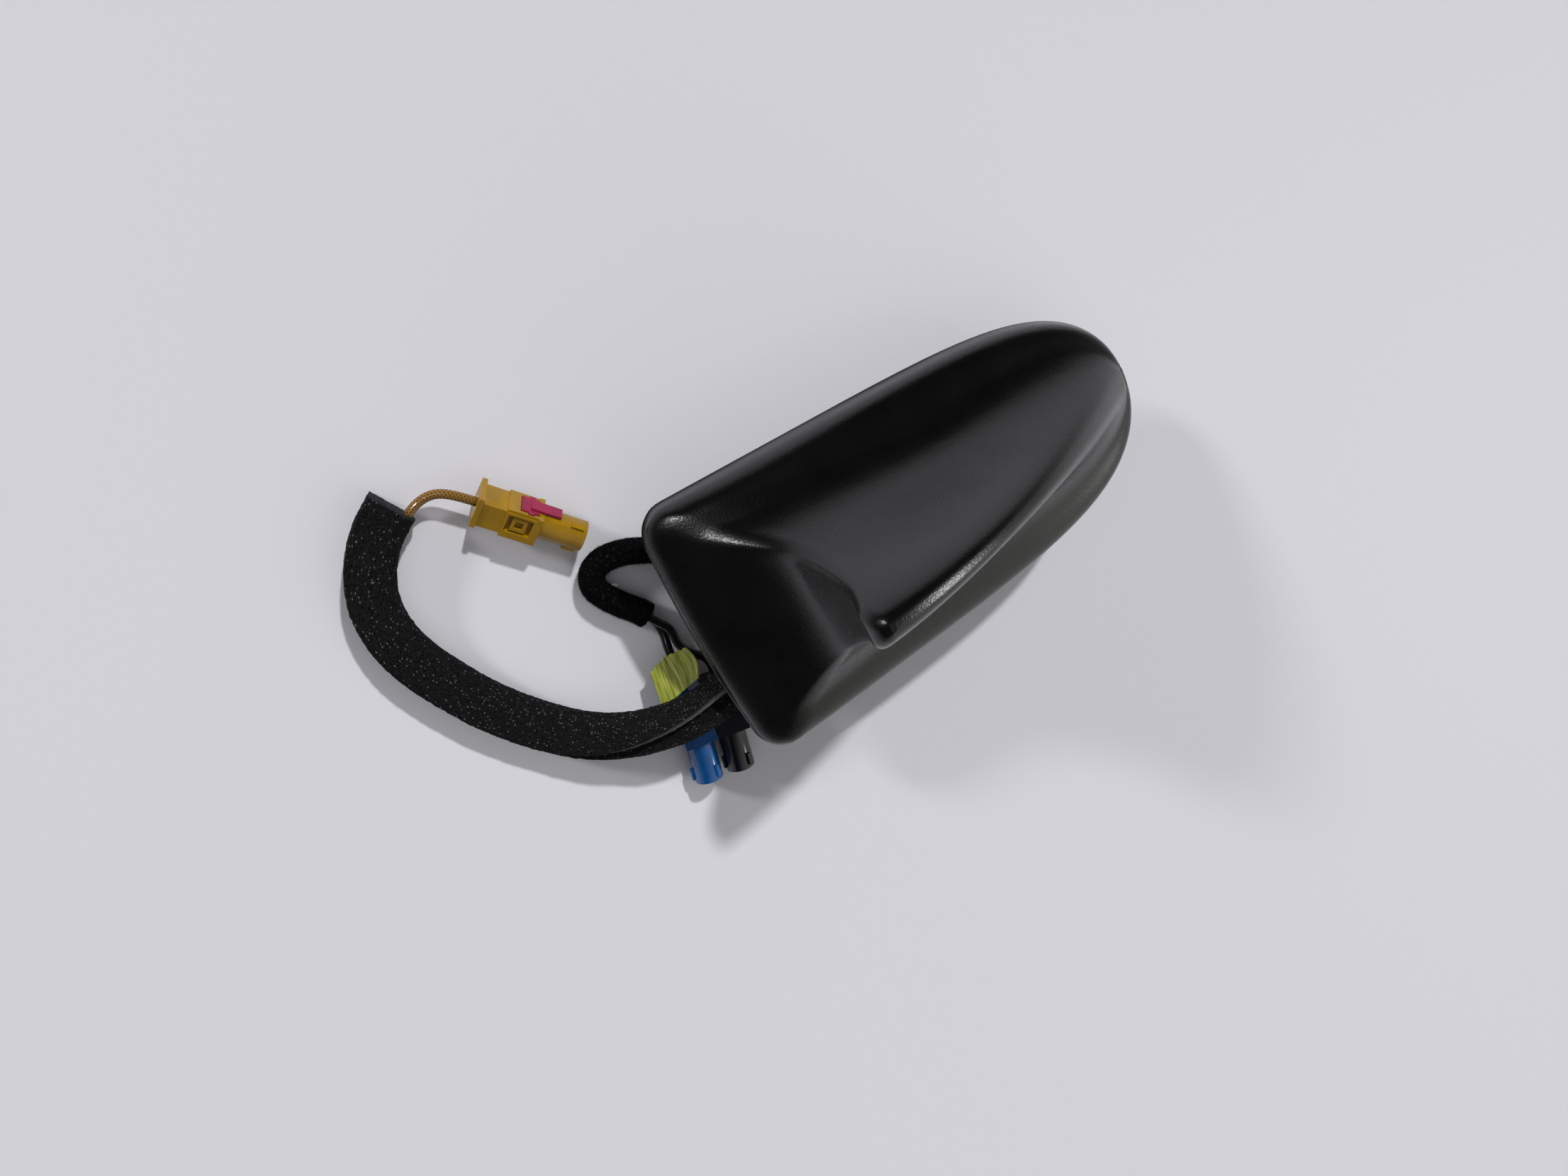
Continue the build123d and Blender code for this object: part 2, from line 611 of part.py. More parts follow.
def make_patch(x, side):
    half = side / 2
    patch = block((x - half, -half, BOARD_TOP), (x + half, half, BOARD_TOP + PATCH_THICKNESS))
    patch = chamfer(patch.edges().filter_by(Axis.Z), PATCH_CORNER)
    return patch - rod(FEED_PIN_RADIUS + SCREW_GAP, BOARD_TOP, BOARD_TOP + PATCH_THICKNESS, x, 0.0)


def make_feed_pins():
    pins = []
    top = BOARD_TOP + PATCH_THICKNESS
    for x, side in patch_places().values():
        pin = rod(FEED_PIN_RADIUS, BOARD_BOTTOM, top, x, 0.0)
        pins.append(pin + rod(FEED_PIN_HEAD_RADIUS, top, top + FEED_PIN_HEAD_HEIGHT, x, 0.0))
    return pins


def make_fin_element():
    # a stamped plate whose slots lengthen the current path, standing on a narrow stem
    nose = ELEMENT_REAR + ELEMENT_LENGTH
    low = BOARD_TOP + ELEMENT_FOOT_HEIGHT
    nose_top = ELEMENT_TOP - ELEMENT_TOP_DROP
    corners = [(ELEMENT_REAR, low), (nose, low), (nose, nose_top), (ELEMENT_REAR, ELEMENT_TOP)]
    sheet = Plane.XZ * make_face(Polyline(*corners, close=True))
    plate = extrude(sheet, ELEMENT_THICKNESS / 2, both=True)
    half = ELEMENT_THICKNESS / 2
    stem_low = (ELEMENT_STEM_X - ELEMENT_STEM_WIDTH / 2, -half, ELEMENT_BOTTOM)
    plate += block(stem_low, (ELEMENT_STEM_X + ELEMENT_STEM_WIDTH / 2, half, low))
    pitch = (nose_top - low) / 4
    for k in (1, 2, 3):
        shift = ELEMENT_SLOT_WIDTH * 2 if k % 2 else -ELEMENT_SLOT_WIDTH * 2
        middle = low + k * pitch
        plate -= block(
            (ELEMENT_REAR + shift, -half, middle - ELEMENT_SLOT_WIDTH / 2),
            (nose + shift, half, middle + ELEMENT_SLOT_WIDTH / 2),
        )
    return plate


def make_element_clip():
    # a folded spring fork that grips the stem of the fin element
    gap = ELEMENT_THICKNESS / 2 + SCREW_GAP
    half = ELEMENT_STEM_WIDTH / 2 - CLIP_SETBACK
    low, high = ELEMENT_STEM_X - half, ELEMENT_STEM_X + half
    clip = block((low, -gap - CLIP_FOOT, BOARD_TOP), (high, gap + CLIP_FOOT, ELEMENT_BOTTOM))
    for side in (-1, 1):
        inner, outer = sorted((side * gap, side * (gap + CLIP_METAL)))
        clip += block((low, inner, BOARD_TOP), (high, outer, BOARD_TOP + CLIP_HEIGHT))
    return clip


def make_shield_can():
    x, y = ELEMENT_STEM_X, BOARD_REAR_WIDTH / 2 - STANDOFF_INSET - STANDOFF_RADIUS - CAN_WIDTH / 2
    low = (x - CAN_LENGTH / 2, y - CAN_WIDTH / 2, BOARD_TOP)
    high = (x + CAN_LENGTH / 2, y + CAN_WIDTH / 2, BOARD_TOP + CAN_HEIGHT)
    can = block(low, high)
    can = fillet(can.edges().filter_by(Axis.Z) + can.faces().sort_by(Axis.Z)[-1].edges(), 2 * CAN_METAL)
    inside = [a + CAN_METAL for a in low], [b - CAN_METAL for b in high]
    return can - block((inside[0][0], inside[0][1], BOARD_TOP), inside[1])


def make_loading_coil():
    x, y = ELEMENT_STEM_X, -BOARD_REAR_WIDTH / 4
    coil = rod(COIL_RADIUS, BOARD_TOP, BOARD_TOP + COIL_HEIGHT, x, y)
    return coil - rod(COIL_CORE_RADIUS, BOARD_TOP, BOARD_TOP + COIL_HEIGHT, x, y)


# Leads

def cord_path(points, before=None, within=None):
    # straight runs joined by arcs that are as large as the two runs allow; a sleeve's stretch of a
    # route, round the points within it, starts and ends half way along a run
    places = [Vector(*point) for point in points]
    radii = []
    for start, here, end in zip(places, places[1:], places[2:]):
        turn = (here - start).get_angle(end - here)
        run = min((here - start).length, (end - here).length)
        radii.append(ARC_SHARE * run / math.tan(math.radians(turn) / 2))
    if within is not None:
        first = 1 + len(before)
        last = first + len(within) - 1
        start = (places[first - 1] + places[first]) * 0.5
        end = (places[last] + places[last + 1]) * 0.5
        places = [start] + places[first : last + 1] + [end]
        radii = radii[first - 1 : last]
    return FilletPolyline(*places, radius=radii), radii


def tube(name, points, radius, before=None, within=None):
    path, radii = cord_path(points, before, within)
    start = Plane(origin=path @ 0, z_dir=path % 0)
    solid = sweep(start * Circle(radius), path=path)
    whole = math.pi * radius**2 * path.length
    print(name, "length", round(path.length, 1), "volume share", round(solid.volume / whole, 4), end=" ")
    print("radii", [round(r, 1) for r in radii])
    return solid


def lifted(points, height):
    return [(x, y, z + height) for x, y, z in points]


def plug_ends(mouth, heading):
    # the last straight run of a lead, up to the rear face of its plug
    reaches = (PLUG_LENGTH + PLUG_LEAD_IN, PLUG_LENGTH)
    return [tuple(m - reach * h for m, h in zip(mouth, heading)) for reach in reaches]


def pair_exit(height):
    return (GROMMET_FACE, PAIR_EXIT_Y, EXIT_HEIGHT + height)


def radio_route():
    laid = RADIO_BEFORE_FOAM + RADIO_IN_FOAM + RADIO_AFTER_FOAM
    ends = plug_ends(RADIO_PLUG_MOUTH, RADIO_PLUG_HEADING)
    return [(GROMMET_FACE, RADIO_EXIT_Y, EXIT_HEIGHT)] + laid + ends


def pair_route(height, tail, mouth):
    return [pair_exit(height)] + lifted(PAIR_ROUTE, height) + tail + plug_ends(mouth, PAIR_PLUG_HEADING)


def foam_section(path, share):
    # a strip folded round its lead: round at the fold, square at its two cut edges; rolled on edge and
    # pinched where it leaves the aerial, flat on the table further on
    ease = min(share / FOAM_FLAT_SHARE, 1.0)
    flat = ease**2 * (3 - 2 * ease)
    width = FOAM_START_WIDTH + (FOAM_WIDTH - FOAM_START_WIDTH) * flat
    height = FOAM_START_HEIGHT + (FOAM_HEIGHT - FOAM_START_HEIGHT) * flat
    offset = FOAM_START_OFFSET + (FOAM_OFFSET - FOAM_START_OFFSET) * flat
    half, fold, cut = height / 2, offset - width / 2 + height / 2, offset + width / 2
    outline = Wire(
        [
            Line((cut, -half), (cut, half)),
            Line((cut, half), (fold, half)),
            ThreePointArc((fold, half), (fold - half, 0), (fold, -half)),
            Line((fold, -half), (cut, -half)),
        ]
    )
    ahead = path % share
    upright = Plane(origin=path @ share, x_dir=Vector(0, 0, 1).cross(ahead), z_dir=ahead)
    return upright.location * Rot(0, 0, FOAM_START_ROLL * (1 - flat)) * outline


def make_foam_sleeve():
    path, radii = cord_path(radio_route(), RADIO_BEFORE_FOAM, RADIO_IN_FOAM)
    steps = round(path.length / FOAM_STEP)
    sleeve = Solid.make_loft([foam_section(path, k / steps) for k in range(steps + 1)])
    print("foam sleeve length", round(path.length, 1), "volume", round(sleeve.volume), sleeve.is_valid)
    return sleeve - tube("foam bore", radio_route(), COAX_RADIUS + COAX_GAP)


def make_fleece_sleeve():
    route = pair_route(0.0, NAV_TAIL, NAV_PLUG_MOUTH)
    sleeve = tube("fleece sleeve", route, FLEECE_DIAMETER / 2, PAIR_BEFORE_FLEECE, PAIR_IN_FLEECE)
    for height in (-PAIR_SPACING / 2, PAIR_SPACING / 2):
        points = [pair_exit(height)] + lifted(PAIR_ROUTE, height)
        sleeve -= tube("lead bore", points, COAX_RADIUS + COAX_GAP)
    return sleeve


def make_tape_flag():
    # crepe tape folded over the pair of leads, resting on them and on the rear flange of the plug below
    low = PLUG_AXIS + COAX_RADIUS + TAPE_LIFT
    high = PLUG_TOP + TAPE_GAP
    front, back = TAPE_OUTLINE[1][1], TAPE_OUTLINE[-1][1]
    tilt = math.degrees(math.atan2(high - low, front - back))
    outline = make_face(Polyline(*[(x, y - front) for x, y in TAPE_OUTLINE], close=True))
    sheet = extrude(outline, TAPE_THICKNESS)
    return Pos(0, front, low) * Rot(-tilt, 0, 0) * sheet


def make_grommet():
    half = DUCT_WIDTH / 2 - PLATE_GAP
    low = EXIT_HEIGHT - DUCT_FLOOR + PLATE_GAP
    high = EXIT_HEIGHT - DUCT_FLOOR + WINDOW_HEIGHT - PLATE_GAP
    grommet = block((FOOT_REAR, -half, low), (FOOT_REAR + FOOT_REAR_WALL, half, high))
    flange = block(
        (GROMMET_FACE, -half - GROMMET_MARGIN, low - GROMMET_MARGIN),
        (FOOT_REAR, half + GROMMET_MARGIN, high + GROMMET_MARGIN),
    )
    grommet += fillet(flange.edges().filter_by(Axis.X), GROMMET_CORNER)
    for y, z in lead_exits():
        hole = Rot(0, 90, 0) * Cylinder(COAX_RADIUS + COAX_GAP, 3 * FOOT_REAR_WALL + 2 * GROMMET_FLANGE)
        grommet -= Pos(FOOT_REAR, y, z) * hole
    return grommet


def lead_exits():
    half = PAIR_SPACING / 2
    pair = [(PAIR_EXIT_Y, EXIT_HEIGHT - half), (PAIR_EXIT_Y, EXIT_HEIGHT + half)]
    return [(RADIO_EXIT_Y, EXIT_HEIGHT)] + pair


def make_inner_leads():
    # from the underside of the board, down the duct in the foot and out through the grommet
    leads = []
    near = FOOT_REAR + FOOT_REAR_WALL + LEAD_BEND_RADIUS
    for k, (y, z) in enumerate(lead_exits()):
        x = near + (COAX_DIAMETER + COAX_GAP if k == 1 else 0.0)
        corners = [(GROMMET_FACE, y, z), (x, y, z), (x, y, BOARD_BOTTOM)]
        path = FilletPolyline(*corners, radius=LEAD_BEND_RADIUS)
        start = Plane(origin=path @ 0, z_dir=path % 0)
        leads.append(sweep(start * Circle(COAX_RADIUS), path=path))
    return leads


# Coded coaxial connectors: built along +X from the mouth to the cable, then laid in place

def lying(radius, start, end):
    return Pos((start + end) / 2, 0, 0) * Rot(0, 90, 0) * Cylinder(radius, end - start)


def slab(start, end, half_width, low, high):
    return block((start, -half_width, low), (end, half_width, high))


def lock_shape(gap):
    top = PLUG_BODY_HEIGHT / 2 + LOCK_THICKNESS / 3
    low = top - LOCK_THICKNESS - gap
    start = BARREL_LENGTH + FLANGE_THICKNESS
    lock = slab(start - gap, start + LOCK_LENGTH + gap, LOCK_WIDTH / 2 + gap, low, top)
    ear_start = start + LOCK_LENGTH / 4
    ear_half = LOCK_WIDTH / 2 + LOCK_EAR + gap
    lock += slab(ear_start - gap, ear_start + LOCK_LENGTH / 3 + gap, ear_half, low, top)
    tongue_low = BARREL_RADIUS + LOCK_GAP - gap
    tongue_top = tongue_low + TONGUE_THICKNESS + gap
    reach = BARREL_LENGTH - TONGUE_LENGTH
    lock += slab(reach, start + LOCK_LENGTH / 2, TONGUE_WIDTH / 2 + gap, tongue_low, tongue_top)
    return lock


def make_plug_housing():
    rear_flange = PLUG_LENGTH - FLANGE_THICKNESS
    front_flange = BARREL_LENGTH + FLANGE_THICKNESS
    half_body, half_tall = PLUG_BODY_WIDTH / 2, PLUG_BODY_HEIGHT / 2
    half_flange, flange_tall = FLANGE_WIDTH / 2, FLANGE_HEIGHT / 2
    housing = lying(BARREL_RADIUS, 0.0, BARREL_LENGTH)
    for angle in (60.0, 180.0, 300.0):
        key = slab(
            KEY_SETBACK,
            KEY_SETBACK + KEY_LENGTH,
            KEY_WIDTH / 2,
            BARREL_RADIUS - BARREL_WALL,
            BARREL_RADIUS + KEY_HEIGHT,
        )
        housing += Rot(angle - 90.0, 0, 0) * key
    housing += slab(BARREL_LENGTH, front_flange, half_flange, -flange_tall, half_tall)
    housing += slab(BARREL_LENGTH, rear_flange, half_body, -half_tall, half_tall - PLUG_STEP)
    housing += slab(BARREL_LENGTH, rear_flange - PLUG_STEP_LENGTH, half_body, -half_tall, half_tall)
    housing += slab(rear_flange, PLUG_LENGTH, half_flange, -flange_tall, flange_tall)
    frame_end = rear_flange - PLUG_STEP_LENGTH
    housing += slab(BARREL_LENGTH, frame_end, half_flange, -flange_tall, half_tall - PLUG_STEP)
    middle = (front_flange + frame_end) / 2
    for side in (-1, 1):
        face = side * half_flange
        housing -= side_pocket(middle, WINDOW_LENGTH, WINDOW_TALL, face, side, WINDOW_DEPTH)
        latch_face = face - side * WINDOW_DEPTH / 4
        latch = side_pocket(middle, LATCH_SIDE, LATCH_SIDE, latch_face, side, WINDOW_DEPTH)
        hole = LATCH_SIDE - 2 * LATCH_WALL
        housing += latch - side_pocket(middle, hole, hole, face, side, WINDOW_DEPTH)
    housing -= lying(BARREL_RADIUS - BARREL_WALL, 0.0, BARREL_DEPTH)
    housing -= lying(SHELL_RADIUS + SCREW_GAP, BARREL_DEPTH, PLUG_LENGTH)
    return housing - lock_shape(LOCK_GAP)


def side_pocket(middle, length, height, face, side, depth):
    inner = face - side * depth
    low, high = sorted((inner, face))
    return block((middle - length / 2, low, -height / 2), (middle + length / 2, high, height / 2))


def make_contact_shell():
    shell = lying(SHELL_RADIUS, SHELL_SETBACK, PLUG_LENGTH)
    return shell - lying(SHELL_RADIUS - SHELL_WALL, SHELL_SETBACK, PLUG_LENGTH - 2 * SHELL_WALL)


def make_insulator():
    inside = SHELL_RADIUS - SHELL_WALL - COAX_GAP / 2
    body = lying(inside, SHELL_SETBACK + SHELL_RADIUS, PLUG_LENGTH - 2 * SHELL_WALL)
    return body - lying(PIN_RADIUS + COAX_GAP / 2, SHELL_SETBACK, PLUG_LENGTH)


def make_centre_pin():
    pin = lying(PIN_RADIUS, SHELL_SETBACK + PIN_RADIUS, PLUG_LENGTH - 2 * SHELL_WALL)
    return chamfer(pin.faces().sort_by(Axis.X)[0].edges(), PIN_RADIUS / 2)


def plug_pieces(name, mouth, heading, roll):
    toward_cable = tuple(-h for h in heading)
    place = Plane(origin=mouth, x_dir=toward_cable, z_dir=(0, 0, 1)).location * Rot(roll, 0, 0)
    return {
        name + "_plug_housing": place * make_plug_housing(),
        name + "_plug_lock": place * lock_shape(0.0),
        name + "_plug_shell": place * make_contact_shell(),
        name + "_plug_insulator": place * make_insulator(),
        name + "_plug_pin": place * make_centre_pin(),
    }


def all_pieces():
    pieces = {
        "cover": make_cover(),
        "base_casting": make_base(),
        "roof_seal": make_roof_seal(),
        "foot_gasket": make_foot_gasket(),
        "cover_screws": make_cover_screws(),
        "circuit_board": make_board(),
        "board_screws": make_board_screws(),
        "patch_feed_pins": make_feed_pins(),
        "fin_element": make_fin_element(),
        "fin_element_clip": make_element_clip(),
        "shield_can": make_shield_can(),
        "loading_coil": make_loading_coil(),
        "cable_grommet": make_grommet(),
        "inner_leads": make_inner_leads(),
        "foam_sleeve": make_foam_sleeve(),
        "fleece_sleeve": make_fleece_sleeve(),
        "tape_flag": make_tape_flag(),
    }
    for name, (x, side) in patch_places().items():
        pieces[name] = make_patch(x, side)
    half = PAIR_SPACING / 2
    pieces["radio_lead"] = tube("radio lead", radio_route(), COAX_RADIUS)
    pieces["nav_lead"] = tube("nav lead", pair_route(-half, NAV_TAIL, NAV_PLUG_MOUTH), COAX_RADIUS)
    broadcast = pair_route(half, BROADCAST_TAIL, BROADCAST_PLUG_MOUTH)
    pieces["broadcast_lead"] = tube("broadcast lead", broadcast, COAX_RADIUS)
    pieces.update(plug_pieces("radio", RADIO_PLUG_MOUTH, RADIO_PLUG_HEADING, RADIO_PLUG_ROLL))
    pieces.update(plug_pieces("nav", NAV_PLUG_MOUTH, PAIR_PLUG_HEADING, PAIR_PLUG_ROLL))
    pieces.update(plug_pieces("broadcast", BROADCAST_PLUG_MOUTH, PAIR_PLUG_HEADING, PAIR_PLUG_ROLL))
    return pieces


os.makedirs("parts", exist_ok=True)
for node, shape in all_pieces().items():
    solids = shape if isinstance(shape, list) else [shape]
    whole = solids[0] if len(solids) == 1 else Compound(children=[solid.solid() for solid in solids])
    export_step(whole, f"parts/{node}.step")
    print(node, len(whole.solids()), round(whole.volume, 1))
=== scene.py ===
# %% [markdown]
# # Shark fin aerial
# A roof aerial for a car lies beside its own leads: a black moulded cover with a fin, a lead in a
# folded foam sleeve with a yellow plug, and a pair of thin leads in fleece tape with two more plugs.
# The solids come ready made in one frame, in metres, with the origin on the roof skin. This lesson
# gives them their finishes, and makes the soft pieces again as what they are: foam, fleece and crepe.

import math

import bpy
import numpy as np
from mathutils import Matrix, Vector


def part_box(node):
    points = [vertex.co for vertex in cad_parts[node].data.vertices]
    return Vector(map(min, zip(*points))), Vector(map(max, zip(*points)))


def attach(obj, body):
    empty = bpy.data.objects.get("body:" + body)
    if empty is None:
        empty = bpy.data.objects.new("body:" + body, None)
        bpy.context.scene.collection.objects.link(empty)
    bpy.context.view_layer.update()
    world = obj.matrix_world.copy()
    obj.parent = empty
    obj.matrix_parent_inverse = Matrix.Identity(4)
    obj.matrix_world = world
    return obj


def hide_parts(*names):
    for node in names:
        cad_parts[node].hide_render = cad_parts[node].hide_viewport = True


MM = 0.001
SEED = 7

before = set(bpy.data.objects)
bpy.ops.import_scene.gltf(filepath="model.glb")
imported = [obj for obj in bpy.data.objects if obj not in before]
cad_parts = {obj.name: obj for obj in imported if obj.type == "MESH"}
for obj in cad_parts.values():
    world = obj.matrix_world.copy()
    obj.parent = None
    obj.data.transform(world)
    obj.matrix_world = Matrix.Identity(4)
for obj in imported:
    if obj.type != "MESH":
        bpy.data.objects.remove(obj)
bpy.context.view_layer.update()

# %% [markdown]
# ## The camera
# The photo was taken from above the left side of the tail, and from close by, which gives a strong
# perspective. A Track To constraint could aim the camera, but it leaves no say in how the picture is
# tilted. A camera's matrix is its right, up and back directions and its place, so the view is written
# as those vectors.

# %% Camera
CAMERA_PLACE = Vector((-0.1093, 0.1237, 0.3337))
CAMERA_RIGHT = Vector((0.8247, -0.4567, 0.3336)).normalized()
CAMERA_FORWARD = Vector((0.1835, -0.3419, -0.9217)).normalized()
LENS = 27.03
SENSOR = 36.0
NEAREST_SEEN = 0.01


def link_object(name, data):
    thing = bpy.data.objects.new(name, data)
    bpy.context.scene.collection.objects.link(thing)
    return thing


back = -CAMERA_FORWARD
right = (CAMERA_RIGHT - CAMERA_RIGHT.dot(back) * back).normalized()
turned = Matrix((right, back.cross(right), back)).transposed().to_4x4()
camera = link_object("camera", bpy.data.cameras.new("camera"))
camera.matrix_world = Matrix.Translation(CAMERA_PLACE) @ turned
camera.data.lens = LENS
camera.data.sensor_width = SENSOR
camera.data.clip_start = NEAREST_SEEN
bpy.context.scene.camera = camera
bpy.context.scene.view_settings.view_transform = "Standard"
print("camera at", [round(v, 3) for v in CAMERA_PLACE])

# %% [markdown]
# ## Colours and nodes
# Colours are read off as sRGB hex values, and shaders work in linear light, so one function turns
# one into the other. One more adds a node with its settings and its links: an input that is given a
# socket is linked to it, and an input that is given a value is set. The steps of a colour ramp are
# settings too. Nodes could be added line by line, but then each link would be a line as well.


# %% Helpers for nodes
def linear(hex_colour):
    # the sRGB curve has a straight foot, and is a power above it
    channels = [int(hex_colour[i : i + 2], 16) / 255 for i in (1, 3, 5)]
    return [c / 12.92 if c <= 0.04045 else ((c + 0.055) / 1.055) ** 2.4 for c in channels] + [1.0]


def add(tree, kind, inputs=None, steps=(), **settings):
    node = tree.nodes.new(kind)
    for name, value in settings.items():
        setattr(node, name, value)
    for key, value in (inputs or {}).items():
        if isinstance(value, bpy.types.NodeSocket):
            tree.links.new(value, node.inputs[key])
        else:
            node.inputs[key].default_value = value
    for k, (place, colour) in enumerate(steps):
        elements = node.color_ramp.elements
        element = elements[k] if k < len(elements) else elements.new(place)
        element.position = place
        element.color = linear(colour)
    return node


def start_material(name, **values):
    # an underscore in a value's name stands for a space in the socket's name
    material = bpy.data.materials.new(name)
    material.use_nodes = True
    tree = material.node_tree
    tree.nodes.clear()
    inputs = {key.replace("_", " "): value for key, value in values.items()}
    shader = add(tree, "ShaderNodeBsdfPrincipled", inputs)
    add(tree, "ShaderNodeOutputMaterial", {"Surface": shader.outputs["BSDF"]})
    return material, tree, shader


def per_mm(size):
    # a texture's scale for a pattern of this size in millimetres, on coordinates in metres
    return 1 / (size * MM)


print("middle grey in linear light", round(linear("#808080")[0], 3))

# %% [markdown]
# ## Floor and light
# The aerial lies on a pale sheet in a room with a dark ceiling. The key lamp stands in front on the
# left and a weaker one low behind it: their shadows show where they are. A wide panel overhead fills
# those shadows. Sun lamps keep the floor even, and a sun's angle sets how soft its shadow is. A satin
# black surface looks like what it mirrors, so the pale foot of the walls, the ceiling and a bright
# wall on the right are drawn on the world, with two ramps in place of a picture of a room. Two small
# lamps show only as glints, on the fin's crest and on the deck's crease.

# %% Floor
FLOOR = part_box("foam_sleeve")[0].z
FLOOR_SIDE = 6.0

# matt plastic sheet: pale and even, so that only shadows show on it
sheet, _, _ = start_material("white_plastic_sheet", Base_Color=linear("#d7d6dd"), Roughness=0.6)
half_side = FLOOR_SIDE / 2
corners = [(x * half_side, y * half_side, FLOOR) for x, y in ((-1, -1), (1, -1), (1, 1), (-1, 1))]
floor_mesh = bpy.data.meshes.new("floor")
floor_mesh.from_pydata(corners, [], [(0, 1, 2, 3)])
floor_mesh.materials.append(sheet)
floor = link_object("floor", floor_mesh)
print("floor at", round(FLOOR, 4))

# %% Lamps
# where a lamp stands, its energy, its angle in degrees, and whether it shades or only glints
LAMPS = {
    "key_lamp": ((0.46, 0.55, 0.69), 2.25, 3.0, True),
    "low_lamp": ((-0.515, 0.798, 0.36), 1.35, 7.0, True),
    "ceiling_panel": ((0.0, 0.0, 1.0), 0.65, 100.0, True),
    "crest_glint": ((0.67, -0.44, 0.59), 0.6, 2.0, False),
    "crease_glint": ((-0.363, 0.37, 0.854), 0.7, 1.0, False),
}

for name, (towards, energy, angle, shades) in LAMPS.items():
    lamp = link_object(name, bpy.data.lights.new(name, "SUN"))
    lamp.data.energy = energy
    lamp.data.angle = math.radians(angle)
    lamp.rotation_euler = Vector(towards).to_track_quat("Z", "Y").to_euler()
    lamp.visible_diffuse = shades
    lamp.visible_glossy = not shades
print("lamps", list(LAMPS))

# %% Room
WALL_TOWARDS = Vector((0.35, -0.90, 0.25)).normalized()
# from the foot of the walls up to the ceiling, and from beside the bright wall to its middle
CEILING_STEPS = [(0.02, "#bcbcbe"), (0.4, "#151516")]
WALL_STEPS = [(0.62, "#000000"), (0.95, "#d6d4cf")]

world = bpy.data.worlds.new("room")
bpy.context.scene.world = world
world.use_nodes = True
tree = world.node_tree
towards = add(tree, "ShaderNodeTexCoord").outputs["Generated"]
height = add(tree, "ShaderNodeSeparateXYZ", {"Vector": towards}).outputs["Z"]
ceiling = add(tree, "ShaderNodeValToRGB", {"Fac": height}, CEILING_STEPS)
aim = add(tree, "ShaderNodeVectorMath", {0: towards, 1: WALL_TOWARDS}, operation="DOT_PRODUCT")
wall = add(tree, "ShaderNodeValToRGB", {"Fac": aim.outputs["Value"]}, WALL_STEPS)
room = add(
    tree, "ShaderNodeMixRGB",
    {"Fac": 1.0, "Color1": ceiling.outputs["Color"], "Color2": wall.outputs["Color"]},
    blend_type="LIGHTEN",
)
tree.links.new(room.outputs["Color"], tree.nodes["Background"].inputs["Color"])
print("bright wall towards", [round(v, 2) for v in WALL_TOWARDS])

# %% [markdown]
# ## Routes of the leads
# A lead is one smooth line. It could be drawn with Bezier handles, but those have to be set at every
# point. So its route is a short list of points, and a NURBS spline with those points as its
# controls gives the line. The spline is read back as plain points, and the leads and their
# sleeves are swept along them.

# %% Routes
# heights of the lines, and points along them, in millimetres
FOAM_OVER = -6.6
FOAM_LOW = -19.0
PAIR_LOW = -19.6
PLUG_AXIS = -18.5
RADIO_PLUG_AXIS = -16.693
PAIR_SPACING = 3.4
RADIO_ROUTE = [
    (-17.5, -4.2, -13.0), (-29.0, -4.2, -13.0), (-43.0, -7.0, -11.4), (-56.0, -13.0, -8.9),
    (-70.2, -18.2, FOAM_OVER), (-81.4, -19.4, FOAM_OVER), (-92.4, -17.8, FOAM_OVER - 0.4),
    (-101.9, -15.2, -11.0), (-109.4, -11.8, -15.2), (-115.6, -7.0, -17.8),
    (-121.6, -0.3, FOAM_LOW), (-127.2, 7.3, FOAM_LOW), (-132.9, 16.3, FOAM_LOW),
    (-137.5, 26.2, FOAM_LOW), (-141.0, 34.9, FOAM_LOW), (-143.2, 43.1, FOAM_LOW),
    (-143.5, 51.2, FOAM_LOW), (-141.9, 58.1, FOAM_LOW), (-138.6, 63.9, FOAM_LOW),
    (-134.0, 69.2, FOAM_LOW), (-128.2, 73.0, FOAM_LOW), (-122.0, 76.2, FOAM_LOW + 0.1),
    (-116.0, 76.5, FOAM_LOW + 1.2), (-111.095, 73.120, RADIO_PLUG_AXIS),
    (-106.986, 68.211, RADIO_PLUG_AXIS),
]
PAIR_ROUTE = [
    (-17.5, 3.4, -13.0), (-29.0, 3.4, -13.0), (-42.0, 7.0, -14.8), (-54.0, 15.0, -17.2),
    (-64.0, 23.4, -19.0), (-71.8, 28.5, PAIR_LOW), (-78.5, 31.8, PAIR_LOW),
    (-84.6, 33.0, PAIR_LOW), (-89.6, 31.2, PAIR_LOW), (-91.4, 26.6, PAIR_LOW),
    (-89.3, 21.7, PAIR_LOW), (-86.2, 16.8, PAIR_LOW), (-82.8, 12.4, PAIR_LOW),
    (-80.4, 7.6, PAIR_LOW),
]
NAV_TAIL = [
    (-79.7, 2.2, PAIR_LOW - 1.0), (-81.6, -3.8, PLUG_AXIS - 0.7),
    (-82.186, -10.182, PLUG_AXIS), (-83.748, -16.39, PLUG_AXIS),
]
BROADCAST_TAIL = [
    (-77.3, 2.4, PAIR_LOW + 1.9), (-78.2, -3.2, PLUG_AXIS + 0.6), (-76.2, -8.2, PLUG_AXIS + 0.2),
    (-71.386, -12.882, PLUG_AXIS), (-72.948, -19.09, PLUG_AXIS),
]


def lifted(points, height):
    return [(x, y, z + height) for x, y, z in points]


NAV_ROUTE = lifted(PAIR_ROUTE, -PAIR_SPACING / 2) + NAV_TAIL
BROADCAST_ROUTE = lifted(PAIR_ROUTE, PAIR_SPACING / 2) + BROADCAST_TAIL
print("points on the routes", len(RADIO_ROUTE), len(NAV_ROUTE), len(BROADCAST_ROUTE))

